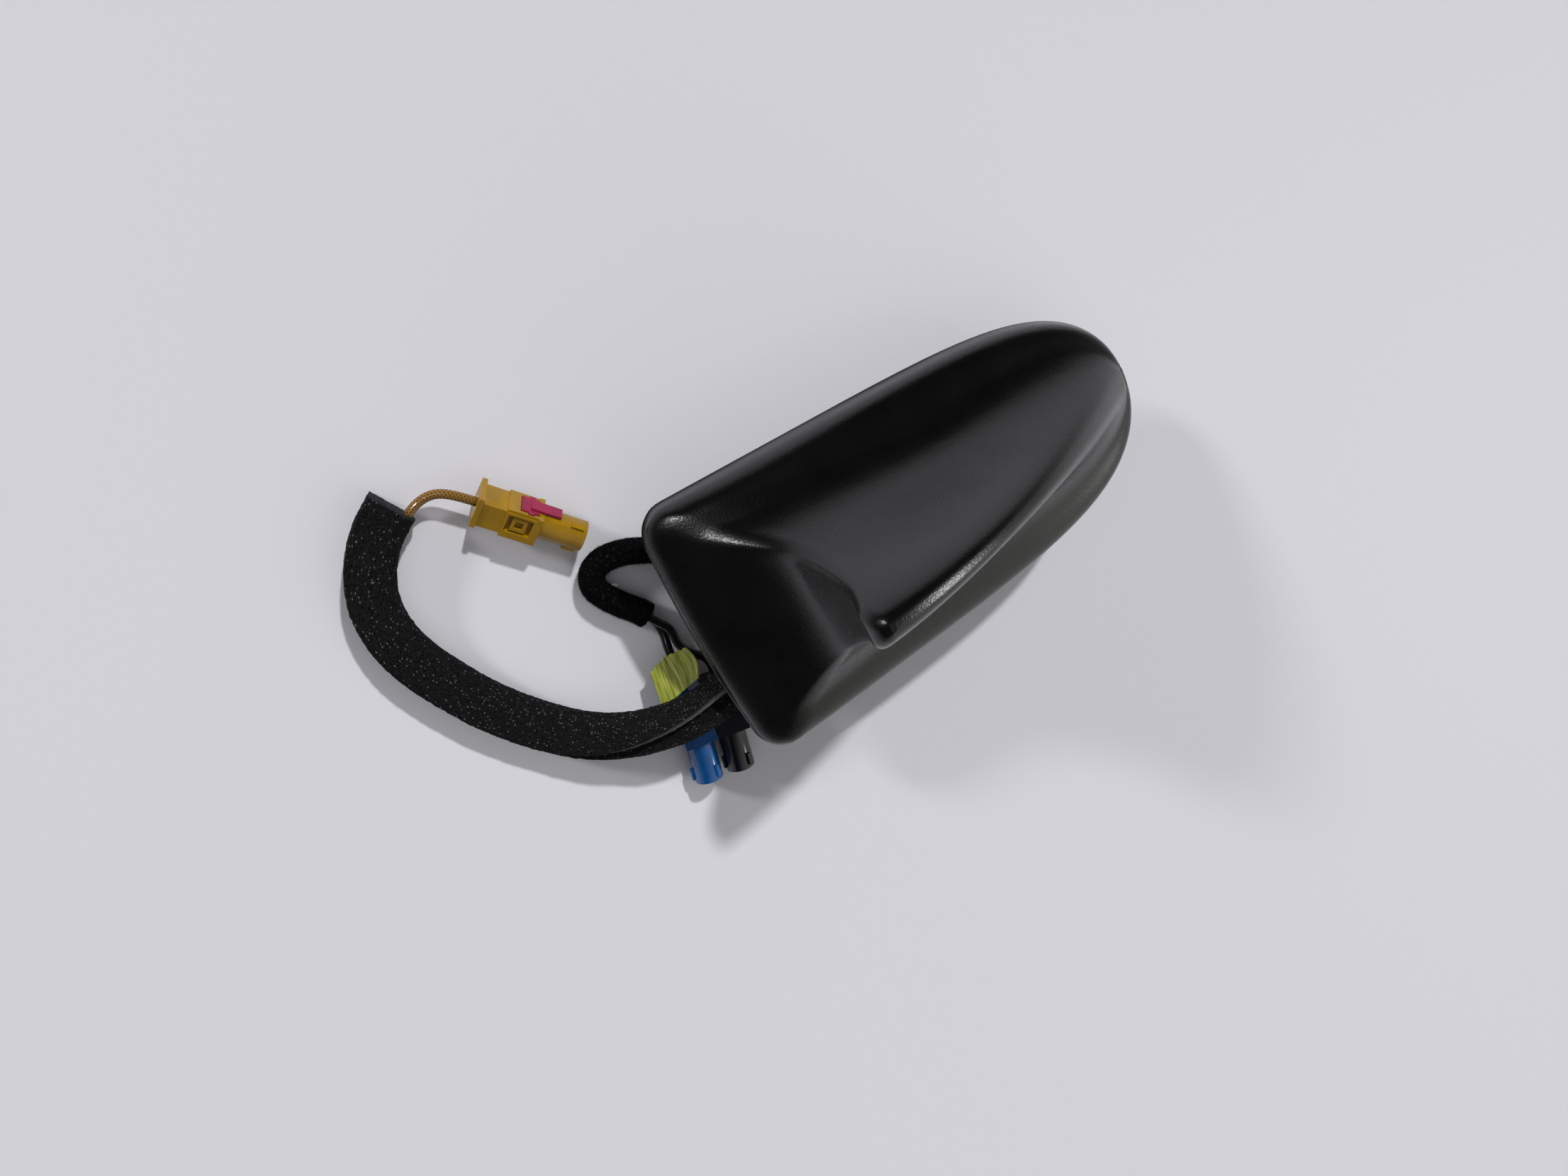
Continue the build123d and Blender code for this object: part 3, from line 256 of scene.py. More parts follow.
# %% Lines from the routes
SPLINE_STEPS = 10
SPLINE_ORDER = 3


def spline_points(route):
    curve = bpy.data.curves.new("route", "CURVE")
    curve.dimensions = "3D"
    curve.resolution_u = SPLINE_STEPS
    spline = curve.splines.new("NURBS")
    spline.points.add(len(route) - 1)
    for point, place in zip(spline.points, route):
        point.co = [MM * v for v in place] + [1.0]
    spline.order_u = SPLINE_ORDER
    spline.use_endpoint_u = True
    holder = bpy.data.objects.new("route", curve)
    mesh = bpy.data.meshes.new_from_object(holder)
    points = np.array([v.co for v in mesh.vertices])
    bpy.data.objects.remove(holder)
    bpy.data.curves.remove(curve)
    bpy.data.meshes.remove(mesh)
    return points


def arc_lengths(points):
    return np.concatenate([[0.0], np.cumsum(np.linalg.norm(np.diff(points, axis=0), axis=1))])


def read_along(points, stations):
    # the places on a line at these lengths along it
    lengths = arc_lengths(points)
    return np.stack([np.interp(stations, lengths, column) for column in points.T], axis=1)


def stretch(points, start, end, step):
    return read_along(points, np.linspace(start, end, max(int((end - start) / step), 2) + 1))


def nearest_length(line, place):
    distances = np.linalg.norm(line - MM * np.array(place), axis=1)
    return arc_lengths(line)[int(np.argmin(distances))]


radio_line = spline_points(RADIO_ROUTE)
pair_line = spline_points(PAIR_ROUTE + NAV_TAIL)
nav_line = spline_points(NAV_ROUTE)
broadcast_line = spline_points(BROADCAST_ROUTE)
for name, line in (("radio", radio_line), ("nav", nav_line), ("broadcast", broadcast_line)):
    print(name, "lead", round(arc_lengths(line)[-1] / MM, 1), "mm")

# %% [markdown]
# ## Sweeping a section
# A round lead could be a curve with a bevel, but the foam's section changes along the way. So a swept
# piece is a ring of points, carried along the line and kept upright, and the ring is given as a
# function of the share of the way. Each piece also gets a UV map in millimetres, along and round the
# piece, so that a pattern can follow the surface.


# %% Sweep
def grid_faces(rows, count, closed):
    # quads between rows of points that stand one after the other in a list, each row open or a ring
    faces = []
    for i in range(rows - 1):
        for k in range(count if closed else count - 1):
            n = (k + 1) % count
            faces.append((i * count + k, i * count + n, (i + 1) * count + n, (i + 1) * count + k))
    return faces


def wall_uvs(along, around):
    uvs = []
    for start, end in zip(along, along[1:]):
        for low, high in zip(around, around[1:]):
            uvs += [(start, low), (start, high), (end, high), (end, low)]
    return uvs


def sweep(name, points, section):
    ahead = np.gradient(points, axis=0)
    ahead /= np.linalg.norm(ahead, axis=1)[:, None]
    side = np.cross((0.0, 0.0, 1.0), ahead)
    side /= np.linalg.norm(side, axis=1)[:, None]
    up = np.cross(ahead, side)
    lengths = arc_lengths(points)
    rings = [section(length / lengths[-1]) for length in lengths]
    places = [p + r[:, :1] * s + r[:, 1:] * u for p, r, s, u in zip(points, rings, side, up)]
    count = len(rings[0])
    faces = grid_faces(len(points), count, closed=True)
    around = arc_lengths(np.vstack([rings[-1], rings[-1][:1]]))
    uvs = wall_uvs(lengths / MM, around / MM)
    last = (len(points) - 1) * count
    first_cap, last_cap = range(count - 1, -1, -1), range(last, last + count)
    for cap, ring in ((first_cap, rings[0]), (last_cap, rings[-1])):
        faces.append(tuple(cap))
        uvs += [tuple(ring[k % count] / MM) for k in cap]
    mesh = bpy.data.meshes.new(name)
    mesh.from_pydata(np.vstack(places).tolist(), [], faces)
    layer = mesh.uv_layers.new(name="along")
    layer.uv.foreach_set("vector", np.array(uvs, np.float32).ravel())
    mesh.polygons.foreach_set("use_smooth", [True] * (len(faces) - 2) + [False] * 2)
    mesh.update()
    return link_object(name, mesh)


def circle(radius, sides):
    angles = np.arange(sides) * 2 * math.pi / sides
    return radius * np.stack([np.cos(angles), np.sin(angles)], axis=1)


print("first wall of a square tube", grid_faces(2, 4, closed=True)[0])

# %% [markdown]
# ## Coaxial leads
# The radio lead has a clear brown fluoropolymer jacket, and its braid shows through as fine crossing
# strands under a gloss. The other two have plain black PVC. A braid could be modelled wire by wire,
# but at this size only its shade and a slight relief can be seen. So it is two sets of slanting bands
# on the UV map, and the stronger of the two shows. Their pitch is about the real one.

# %% Lead finishes
COAX_DIAMETER = 2.9
BRAID_PITCH = 0.9
BRAID_SLANT = 35.0
BRAID_STEPS = [(0.3, "#5a3e15"), (0.8, "#72511f"), (1.0, "#8c6a36")]
BRAID_RELIEF = 0.2
WAVE_RADIANS = 20.0
RIPPLES_PER_MM = 0.35
RIPPLE_RELIEF = 0.3

# clear jacket over tinned copper braid: warm brown with pale crossing strands and a wet shine
brown_jacket, tree, shader = start_material(
    "clear_brown_jacket_over_braid", Roughness=0.22, IOR=1.4, Coat_Weight=0.4,
)
place = add(tree, "ShaderNodeTexCoord").outputs["UV"]
# a wave of scale 1 runs through WAVE_RADIANS in one unit, and a unit here is a millimetre
braid_scale = 2 * math.pi / (WAVE_RADIANS * BRAID_PITCH)
bands = []
for slant in (BRAID_SLANT, -BRAID_SLANT):
    turn = (0.0, 0.0, math.radians(slant))
    slanted = add(tree, "ShaderNodeMapping", {"Vector": place, "Rotation": turn}).outputs["Vector"]
    wave = add(tree, "ShaderNodeTexWave", {"Vector": slanted, "Scale": braid_scale})
    bands.append(wave.outputs["Fac"])
stronger = add(tree, "ShaderNodeMath", {0: bands[0], 1: bands[1]}, operation="MAXIMUM")
strands = stronger.outputs["Value"]
ramp = add(tree, "ShaderNodeValToRGB", {"Fac": strands}, BRAID_STEPS)
tree.links.new(ramp.outputs["Color"], shader.inputs["Base Color"])
relief = {"Strength": 0.3, "Distance": BRAID_RELIEF * MM, "Height": strands}
bump = add(tree, "ShaderNodeBump", relief)
tree.links.new(bump.outputs["Normal"], shader.inputs["Normal"])

# extruded PVC: near black, with a soft shine broken by slow ripples
black_pvc, tree, shader = start_material(
    "black_pvc_jacket", Base_Color=linear("#0b0b0c"), Roughness=0.25, IOR=1.53,
)
place = add(tree, "ShaderNodeTexCoord").outputs["UV"]
ripple = add(tree, "ShaderNodeTexNoise", {"Vector": place, "Scale": RIPPLES_PER_MM})
relief = {"Strength": 0.15, "Distance": RIPPLE_RELIEF * MM, "Height": ripple.outputs["Fac"]}
bump = add(tree, "ShaderNodeBump", relief)
tree.links.new(bump.outputs["Normal"], shader.inputs["Normal"])
print("braid pitch", BRAID_PITCH, "mm, ripples of", round(1 / RIPPLES_PER_MM, 1), "mm")

# %% Leads
COAX_SIDES = 20
LEADS = {
    "radio": (radio_line, brown_jacket, "tan_coax"),
    "nav": (nav_line, black_pvc, "black_coax"),
    "broadcast": (broadcast_line, black_pvc, "black_coax"),
}
for name, (line, jacket, slot) in LEADS.items():
    lead = sweep(name + "_coax", line, lambda share: circle(MM * COAX_DIAMETER / 2, COAX_SIDES))
    lead.data.materials.append(jacket)
    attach(lead, "root")
    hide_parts(name + "_lead")
    print(lead.name, len(lead.data.polygons), "faces")

# %% [markdown]
# ## Roughening a soft surface
# Cut foam and fleece have no smooth faces. A Displace modifier could pit them, but it plants no
# fibres, and hair is lost in the export. So a node tree pushes every point along its normal by a fine
# noise, and plants short cones on the faces that don't look down. Its sizes are inputs, so one tree
# serves both: the foam gets deep pits and no fibres, the fleece shallow pits and many fibres. The
# result is made a plain mesh at once, because the export keeps no live instances.


# %% Starting and ending a node tree
def start_tree(name, sizes):
    tree = bpy.data.node_groups.new(name, "GeometryNodeTree")
    tree.interface.new_socket("Made", in_out="OUTPUT", socket_type="NodeSocketGeometry")
    tree.interface.new_socket("Given", in_out="INPUT", socket_type="NodeSocketGeometry")
    for size in sizes:
        tree.interface.new_socket(size, in_out="INPUT", socket_type="NodeSocketFloat")
    return tree, add(tree, "NodeGroupInput").outputs


def end_tree(tree, geometry, material):
    whole = add(tree, "GeometryNodeRealizeInstances", {"Geometry": geometry}).outputs["Geometry"]
    finish = {"Geometry": whole, "Material": material}
    finished = add(tree, "GeometryNodeSetMaterial", finish).outputs["Geometry"]
    add(tree, "NodeGroupOutput", {"Made": finished})


def make_plain(piece, tree, sizes):
    modifier = piece.modifiers.new(tree.name, "NODES")
    modifier.node_group = tree
    for item in tree.interface.items_tree:
        if item.in_out == "INPUT" and item.name in sizes:
            modifier[item.identifier] = sizes[item.name]
    graph = bpy.context.evaluated_depsgraph_get()
    mesh = bpy.data.meshes.new_from_object(piece.evaluated_get(graph))
    piece.modifiers.remove(modifier)
    piece.data = mesh
    print(piece.name, len(mesh.polygons), "faces")


# %% Node tree for soft surfaces
SOFT_SIZES = ("Pit size", "Pit depth", "Fibres per area", "Fibre length", "Fibre radius")
PIT_LEVEL = 0.75
# the least rise of a face with fibres, their lean and turn in radians, and shares of their length
FIBRES_ABOVE = -0.1
FIBRE_LEAN = 0.9
FIBRE_TURN = 6.0
FIBRE_SHARE = (0.4, 1.0)


def pitted_surface(tree, given, outwards):
    # the part of the noise under PIT_LEVEL goes in, and the little above it comes out
    scale = {0: 1.0, 1: given["Pit size"]}
    scale = add(tree, "ShaderNodeMath", scale, operation="DIVIDE").outputs[0]
    pattern = {"Scale": scale, "Detail": 2.0, "W": SEED}
    noise = add(tree, "ShaderNodeTexNoise", pattern, noise_dimensions="4D").outputs["Fac"]
    level = add(tree, "ShaderNodeMath", {0: noise, 1: PIT_LEVEL}, operation="SUBTRACT").outputs[0]
    depth = {0: level, 1: given["Pit depth"]}
    depth = add(tree, "ShaderNodeMath", depth, operation="MULTIPLY").outputs[0]
    push = {0: outwards, "Scale": depth}
    push = add(tree, "ShaderNodeVectorMath", push, operation="SCALE").outputs[0]
    moved = {"Geometry": given["Given"], "Offset": push}
    return add(tree, "GeometryNodeSetPosition", moved).outputs["Geometry"]


def planted_fibres(tree, given, outwards, surface):
    rise = add(tree, "ShaderNodeSeparateXYZ", {"Vector": outwards}).outputs["Z"]
    clear = {0: rise, 1: FIBRES_ABOVE}
    clear = add(tree, "ShaderNodeMath", clear, operation="GREATER_THAN").outputs[0]
    roots = add(
        tree, "GeometryNodeDistributePointsOnFaces",
        {"Mesh": surface, "Selection": clear, "Density": given["Fibres per area"], "Seed": SEED},
    )
    fibre = add(
        tree, "GeometryNodeMeshCone",
        {"Vertices": 3, "Radius Bottom": given["Fibre radius"], "Depth": given["Fibre length"]},
        fill_type="NONE",
    )
    # inputs 0 and 1 of a random value are the ends of its vectors, 2 and 3 those of its numbers
    least, most = (-FIBRE_LEAN, -FIBRE_LEAN, 0.0), (FIBRE_LEAN, FIBRE_LEAN, FIBRE_TURN)
    lean = {0: least, 1: most, "Seed": SEED}
    lean = add(tree, "FunctionNodeRandomValue", lean, data_type="FLOAT_VECTOR").outputs["Value"]
    leaning = add(tree, "FunctionNodeEulerToRotation", {"Euler": lean}).outputs["Rotation"]
    turned = add(
        tree, "FunctionNodeRotateRotation",
        {"Rotation": roots.outputs["Rotation"], "Rotate By": leaning}, rotation_space="LOCAL",
    )
    size = {2: FIBRE_SHARE[0], 3: FIBRE_SHARE[1], "Seed": SEED + 1}
    size = add(tree, "FunctionNodeRandomValue", size).outputs[1]
    planted = add(
        tree, "GeometryNodeInstanceOnPoints",
        {"Points": roots.outputs["Points"], "Instance": fibre.outputs["Mesh"],
         "Rotation": turned.outputs["Rotation"], "Scale": size},
    )
    return planted.outputs["Instances"]


def soft_surface_tree(name, material):
    tree, given = start_tree(name, SOFT_SIZES)
    outwards = add(tree, "GeometryNodeInputNormal").outputs["Normal"]
    surface = pitted_surface(tree, given, outwards)
    fibres = planted_fibres(tree, given, outwards, surface)
    both = add(tree, "GeometryNodeJoinGeometry", {"Geometry": fibres})
    tree.links.new(surface, both.inputs["Geometry"])
    end_tree(tree, both.outputs["Geometry"], material)
    return tree


print("sizes of a soft surface", SOFT_SIZES)

# %% [markdown]
# ## Foam sleeve
# A strip of black open-cell foam is folded round the radio lead: round at the fold, square at its two
# cut edges. Where it leaves the aerial it stands on edge and is pinched, so the slit between its two
# layers faces up and the lower layer stands out; further on it lies flat, with the slit on the
# outside of the bend. A Boolean could cut the slit, but the section changes all the way, so the slit
# is part of it. Cut foam shines only where a cell wall faces the light, and that light is painted
# into its colour: painted shade in the pits, scattered pale painted glints, and a painted highlight
# along the upper cut edge. The cells are drawn longer along the strip, as in foam that was pulled.

# %% Foam finish
CELL = 0.6
CELL_STRETCH = 1.7
# grey cell walls, darkening to painted shade in the middle of each pit
CELL_PIT_SHADE_STEPS = [(0.0, "#1b1b1c"), (0.2, "#0e0e0f"), (0.45, "#050505")]
CELL_RELIEF = 0.4
# painted glints: the share of cells that get one, where a glint is full and where it ends, its colour
PAINTED_GLINT_SHARE = 0.66
PAINTED_GLINT_CORE = 0.12
PAINTED_GLINT_RIM = 0.34
PAINTED_GLINT_COLOUR = "#68686c"

# polyurethane foam: painted shade in the black pits, grey cell walls, and painted glints on walls
foam_black, tree, shader = start_material(
    "black_polyurethane_foam", Roughness=0.8, Specular_IOR_Level=0.08,
)
place = add(tree, "ShaderNodeTexCoord").outputs["UV"]
cell_scale = (1 / (CELL * CELL_STRETCH), 1 / CELL, 1.0)
place = add(tree, "ShaderNodeMapping", {"Vector": place, "Scale": cell_scale}).outputs["Vector"]
pattern = {"Vector": place, "Scale": 1.0}
cells = add(tree, "ShaderNodeTexVoronoi", pattern)
walls = add(tree, "ShaderNodeTexVoronoi", pattern, feature="DISTANCE_TO_EDGE").outputs["Distance"]
walls_and_pit_shade = add(tree, "ShaderNodeValToRGB", {"Fac": walls}, CELL_PIT_SHADE_STEPS).outputs["Color"]
# a cell whose chance is over the share gets a painted glint, which fades out from its middle
chance = add(tree, "ShaderNodeSeparateColor", {"Color": cells.outputs["Color"]}).outputs["Red"]
chosen = {0: chance, 1: PAINTED_GLINT_SHARE}
chosen = add(tree, "ShaderNodeMath", chosen, operation="GREATER_THAN").outputs[0]
near = add(
    tree, "ShaderNodeMapRange",
    {"Value": cells.outputs["Distance"], "From Min": PAINTED_GLINT_CORE, "From Max": PAINTED_GLINT_RIM,
     "To Min": 1.0, "To Max": 0.0},
).outputs["Result"]
painted_glint = add(tree, "ShaderNodeMath", {0: chosen, 1: near}, operation="MULTIPLY").outputs[0]
# the painted highlight along the upper cut edge and the painted glints both lighten the colour
edge = add(tree, "ShaderNodeAttribute", attribute_name="cut_edge_highlight").outputs["Fac"]
light = add(tree, "ShaderNodeMath", {0: painted_glint, 1: edge}, operation="MAXIMUM").outputs[0]
mixed = {"Fac": light, "Color1": walls_and_pit_shade, "Color2": linear(PAINTED_GLINT_COLOUR)}
colour = add(tree, "ShaderNodeMixRGB", mixed)
tree.links.new(colour.outputs["Color"], shader.inputs["Base Color"])
relief = {"Strength": 0.9, "Distance": CELL_RELIEF * MM, "Height": walls}
bump = add(tree, "ShaderNodeBump", relief, invert=True)
tree.links.new(bump.outputs["Normal"], shader.inputs["Normal"])
print("foam cells of", CELL, "mm")

# %% Foam section
# sizes in pairs are those at the start of the strip and where it lies flat
FOAM_WIDTH = (9.0, 15.0)
FOAM_HEIGHT = (8.4, 10.0)
FOAM_OFFSET = (-0.4, 4.8)
SLIT_OPEN = (1.3, 0.25)
SLIT_DEPTH = 0.55
SLIT_END = 0.05
EDGE_ROUND = 0.7
FOAM_ROLL = 60.0
FOAM_FLAT_SHARE = 0.42
# how far the lower layer hangs down at the start, how far out it then stands, and how that closes
FOAM_SPLAY = 3.4
FOAM_SPLAY_OUT = 0.9
FOAM_SPLAY_SHARE = 0.5
FOAM_SPLAY_POWER = 0.6
RING_PARTS = {
    "lower_cut": 7, "slit_in": 9, "slit_out": 9, "upper_cut": 7, "top": 30, "fold": 24, "bottom": 30,
}


def foam_runs(width, height, offset, gap, reach):
    # the corners of each part of the ring, from the lower cut edge round to the underside
    half, fold, cut = height / 2, offset - width / 2 + height / 2, offset + width / 2
    deep = cut - SLIT_DEPTH * width
    soft = EDGE_ROUND
    low = cut + reach
    angles = np.linspace(math.pi / 2, math.pi * 3 / 2, RING_PARTS["fold"] + 2)[1:-1]
    return [
        ((low - soft, -half), (low, -half + soft), (low, -gap / 2 - soft)),
        ((low - soft / 2, -gap / 2), (deep, -SLIT_END)),
        ((deep, SLIT_END), (cut - soft / 2, gap / 2)),
        ((cut, gap / 2 + soft), (cut, half - soft), (cut - soft, half)),
        ((cut - 2 * soft, half), (fold, half)),
        [(fold + half * math.cos(a), half * math.sin(a)) for a in angles],
        ((fold, -half), (low - 2 * soft, -half)),
    ]


def foam_section(share):
    ease = min(max(share / FOAM_FLAT_SHARE, 0.0), 1.0)
    flat = ease**2 * (3 - 2 * ease)
    pairs = (FOAM_WIDTH, FOAM_HEIGHT, FOAM_OFFSET, SLIT_OPEN)
    sizes = [start + (end - start) * flat for start, end in pairs]
    closing = min(max(share / FOAM_SPLAY_SHARE, 0.0), 1.0)
    splay = FOAM_SPLAY * (1 - closing) ** FOAM_SPLAY_POWER
    ring = {}
    for (part, count), run in zip(RING_PARTS.items(), foam_runs(*sizes, splay * FOAM_SPLAY_OUT)):
        run = np.array(run)
        ring[part] = read_along(run, np.linspace(0, arc_lengths(run)[-1], count))
    drop = splay * (1 - flat)
    ring["lower_cut"][:, 1] -= drop
    ring["bottom"][:, 1] -= drop * np.linspace(0, 1, RING_PARTS["bottom"])
    ring["slit_in"][:, 1] -= drop * np.linspace(1, 0, RING_PARTS["slit_in"])
    roll = math.radians(FOAM_ROLL) * (1 - flat)
    turn = np.array([[math.cos(roll), math.sin(roll)], [-math.sin(roll), math.cos(roll)]])
    return MM * np.vstack(list(ring.values())) @ turn


RING_SIZE = len(foam_section(0.0))
print("foam section of", RING_SIZE, "points")

# %% Foam sleeve
FOAM_SEEN_FROM = (-75.8, -18.8, FOAM_OVER)
FOAM_ENDS_AT = (-125.1, 74.6, FOAM_LOW)
FOAM_HIDDEN_START = 3.2
FOAM_STEP = 0.5
FOAM_SIZES = {"Pit size": 1.1 * MM, "Pit depth": 0.9 * MM, "Fibres per area": 0.0}
# painted highlight across the upper cut edge, how far along it reaches, and the pale strip end
LIP_HIGHLIGHT_LEVELS = (0.1, 0.4, 0.9, 1.0, 1.0, 0.9, 0.5, 0.2)
LIP_BEFORE_EDGE = 3
LIP_HIGHLIGHT_SHARE = 0.6
END_SHADE = 0.15
END_RINGS = 2

foam_start = nearest_length(radio_line, FOAM_SEEN_FROM) - MM * FOAM_HIDDEN_START
foam_end = nearest_length(radio_line, FOAM_ENDS_AT)
foam_line = stretch(radio_line, foam_start, foam_end, MM * FOAM_STEP)
foam = sweep("foam_strip", foam_line, foam_section)
upper_edge = RING_PARTS["lower_cut"] + RING_PARTS["slit_in"] + RING_PARTS["slit_out"]
lip_highlight_start = upper_edge - LIP_BEFORE_EDGE
# a painted highlight across the upper cut edge, fading out along the strip, and paler end rings
lip_highlight = np.zeros((len(foam_line), RING_SIZE), np.float32)
lip_highlight[:, lip_highlight_start : lip_highlight_start + len(LIP_HIGHLIGHT_LEVELS)] = LIP_HIGHLIGHT_LEVELS
lip_highlight *= np.clip(1 - np.linspace(0, 1, len(foam_line)) / LIP_HIGHLIGHT_SHARE, 0, 1)[:, None]
lip_highlight[-END_RINGS:] = END_SHADE
foam.data.attributes.new("cut_edge_highlight", "FLOAT", "POINT").data.foreach_set("value", lip_highlight.ravel())
make_plain(foam, soft_surface_tree("open_cell_foam", foam_black), FOAM_SIZES)
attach(foam, "root")
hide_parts("foam_sleeve")
print("foam strip", round((foam_end - foam_start) / MM, 1), "mm")

# %% [markdown]
# ## Fleece tape
# The two thin leads are wrapped in black fleece tape, which stops them rattling. It is a soft tube
# with a nap of short fibres. A bump alone would leave its outline smooth, so it gets fibres of its
# own, from the node tree that also pits the foam.

# %% Fleece finish
FLECK = 0.8
FLECK_STEPS = [(0.6, "#070708"), (0.75, "#29292b")]
NAP = 0.9
NAP_RELIEF = 0.4

# needled polyester fleece: the blackest piece here, with dusty fibres at its outline
fleece_black, tree, shader = start_material(
    "black_fleece_tape", Roughness=0.95, Specular_IOR_Level=0.1,
)
place = add(tree, "ShaderNodeTexCoord").outputs["Object"]
pattern = {"Vector": place, "Scale": per_mm(FLECK), "Detail": 1.0}
fleck = add(tree, "ShaderNodeTexNoise", pattern).outputs["Fac"]
ramp = add(tree, "ShaderNodeValToRGB", {"Fac": fleck}, FLECK_STEPS)
tree.links.new(ramp.outputs["Color"], shader.inputs["Base Color"])
pattern = {"Vector": place, "Scale": per_mm(NAP), "Detail": 4.0}
nap = add(tree, "ShaderNodeTexNoise", pattern).outputs["Fac"]
bump = add(tree, "ShaderNodeBump", {"Strength": 0.6, "Distance": NAP_RELIEF * MM, "Height": nap})
tree.links.new(bump.outputs["Normal"], shader.inputs["Normal"])
print("fleece flecks of", FLECK, "mm")

# %% Fleece wrap
FLEECE_FROM = (-59.0, 19.2, -18.1)
FLEECE_ENDS_AT = (-81.6, 10.0, PAIR_LOW)
FLEECE_DIAMETER = 8.8
FLEECE_ROOM_FOR_NAP = 0.2
FLEECE_STEP = 0.6
FLEECE_SIDES = 56
FLEECE_SIZES = {
    "Pit size": 1.6 * MM, "Pit depth": 0.45 * MM, "Fibres per area": 9.0e6,
    "Fibre length": 1.0 * MM, "Fibre radius": 0.05 * MM,
}

fleece_start = nearest_length(pair_line, FLEECE_FROM)
fleece_end = nearest_length(pair_line, FLEECE_ENDS_AT)
fleece_line = stretch(pair_line, fleece_start, fleece_end, MM * FLEECE_STEP)
fleece_ring = circle(MM * (FLEECE_DIAMETER / 2 - FLEECE_ROOM_FOR_NAP), FLEECE_SIDES)
fleece = sweep("fleece_wrap", fleece_line, lambda share: fleece_ring)
make_plain(fleece, soft_surface_tree("needled_fleece", fleece_black), FLEECE_SIZES)
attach(fleece, "root")
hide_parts("fleece_sleeve")
print("fleece wrap", round((fleece_end - fleece_start) / MM, 1), "mm")

# %% [markdown]
# ## Crepe tape
# A flag of yellow-green crepe paper tape is folded over the pair where the two leads part. Crepe is
# paper that was wrinkled across while wet, so the flag is a thin sheet with folds along its length,
# which rises from the leads to the plug behind them. A cloth simulation could crumple it, but waves
# come out the same each time. So it is a grid between two edge lines, lifted by two waves, and a
# Solidify modifier gives it its thickness.

# %% Crepe tape finish
CREPE_PITCH = 0.7
CRINKLES_PER_MM = 0.12
CREPE_HOLLOW_SHADE_STEPS = [(0.3, "#5c6216"), (0.5, "#878d2c"), (0.75, "#b0b355")]
CREPE_RELIEF = 0.5

# saturated crepe paper: a dull sheen, and long fine crinkles with painted shade in their hollows
crepe_green, tree, shader = start_material("yellow_green_crepe_tape", Roughness=0.5, IOR=1.5)
place = add(tree, "ShaderNodeTexCoord").outputs["UV"]
crepe_scale = (1.0 / CREPE_PITCH, CRINKLES_PER_MM, 1.0)
place = add(tree, "ShaderNodeMapping", {"Vector": place, "Scale": crepe_scale}).outputs["Vector"]
pattern = {"Vector": place, "Scale": 1.0, "Detail": 3.0}
crinkle = add(tree, "ShaderNodeTexNoise", pattern).outputs["Fac"]
# the crinkles paint shade into their hollows and make their crests paler
ramp = add(tree, "ShaderNodeValToRGB", {"Fac": crinkle}, CREPE_HOLLOW_SHADE_STEPS)
tree.links.new(ramp.outputs["Color"], shader.inputs["Base Color"])
relief = {"Strength": 0.7, "Distance": CREPE_RELIEF * MM, "Height": crinkle}
bump = add(tree, "ShaderNodeBump", relief)
tree.links.new(bump.outputs["Normal"], shader.inputs["Normal"])
print("crepe pitch", CREPE_PITCH, "mm")

# %% Crepe tape grid
TAPE_FRONT = [(-90.6, -5.6), (-87.2, -4.4), (-84.0, -3.6), (-80.4, -4.1), (-76.6, -4.8)]
TAPE_BACK = [(-93.0, -16.6), (-89.4, -16.1), (-85.7, -15.6), (-82.1, -15.1), (-78.4, -14.6)]
TAPE_LOW = -15.95
TAPE_HIGH = -12.7
TAPE_LIFT = 0.3
TAPE_BULGE = 1.6
TAPE_GRID = (60, 44)
# heights of the waves in the torn edge, and how fast they run across the flag
TEAR_WAVES = ((0.18, 41.0), (0.12, 97.0))
FOLD_HEIGHT = 0.16
FOLDS = 3.2
FOLD_SLANT = 1.5
FOLD_FADE = 0.5
FINE_FOLDS = 2.3
FINE_SHARE = 0.5

columns, rows = TAPE_GRID
across = np.linspace(0, 1, columns + 1)
edges = []
for corners in (TAPE_FRONT, TAPE_BACK):
    spots = np.linspace(0, 1, len(corners))
    edges.append(np.stack([np.interp(across, spots, column) for column in zip(*corners)], axis=1))
front_edge, back_edge = edges
front_edge[:, 1] += sum(height * np.sin(across * speed) for height, speed in TEAR_WAVES)
points = []
for down in np.linspace(0, 1, rows + 1):
    line = front_edge + (back_edge - front_edge) * down
    line[:, 0] += TAPE_BULGE * math.sin(math.pi * down) * across**3
    rise = TAPE_LOW + (TAPE_HIGH - TAPE_LOW) * down
    folds = np.sin(2 * math.pi * FOLDS * across + FOLD_SLANT * down)
    folds += FINE_SHARE * np.sin(2 * math.pi * FINE_FOLDS * FOLDS * across - down)
    # the folds reach down from the flag's own rise, and less so towards its back
    below = FOLD_HEIGHT * (folds - 1 - FINE_SHARE) * (1 - FOLD_FADE * down)
    points.append(np.column_stack([line, rise + below + TAPE_LIFT]))
points = np.vstack(points)
print("crepe grid of", len(points), "points")

# %% Crepe tape
TAPE_FLAT = (15.0, 12.5)
TAPE_THICKNESS = 0.35

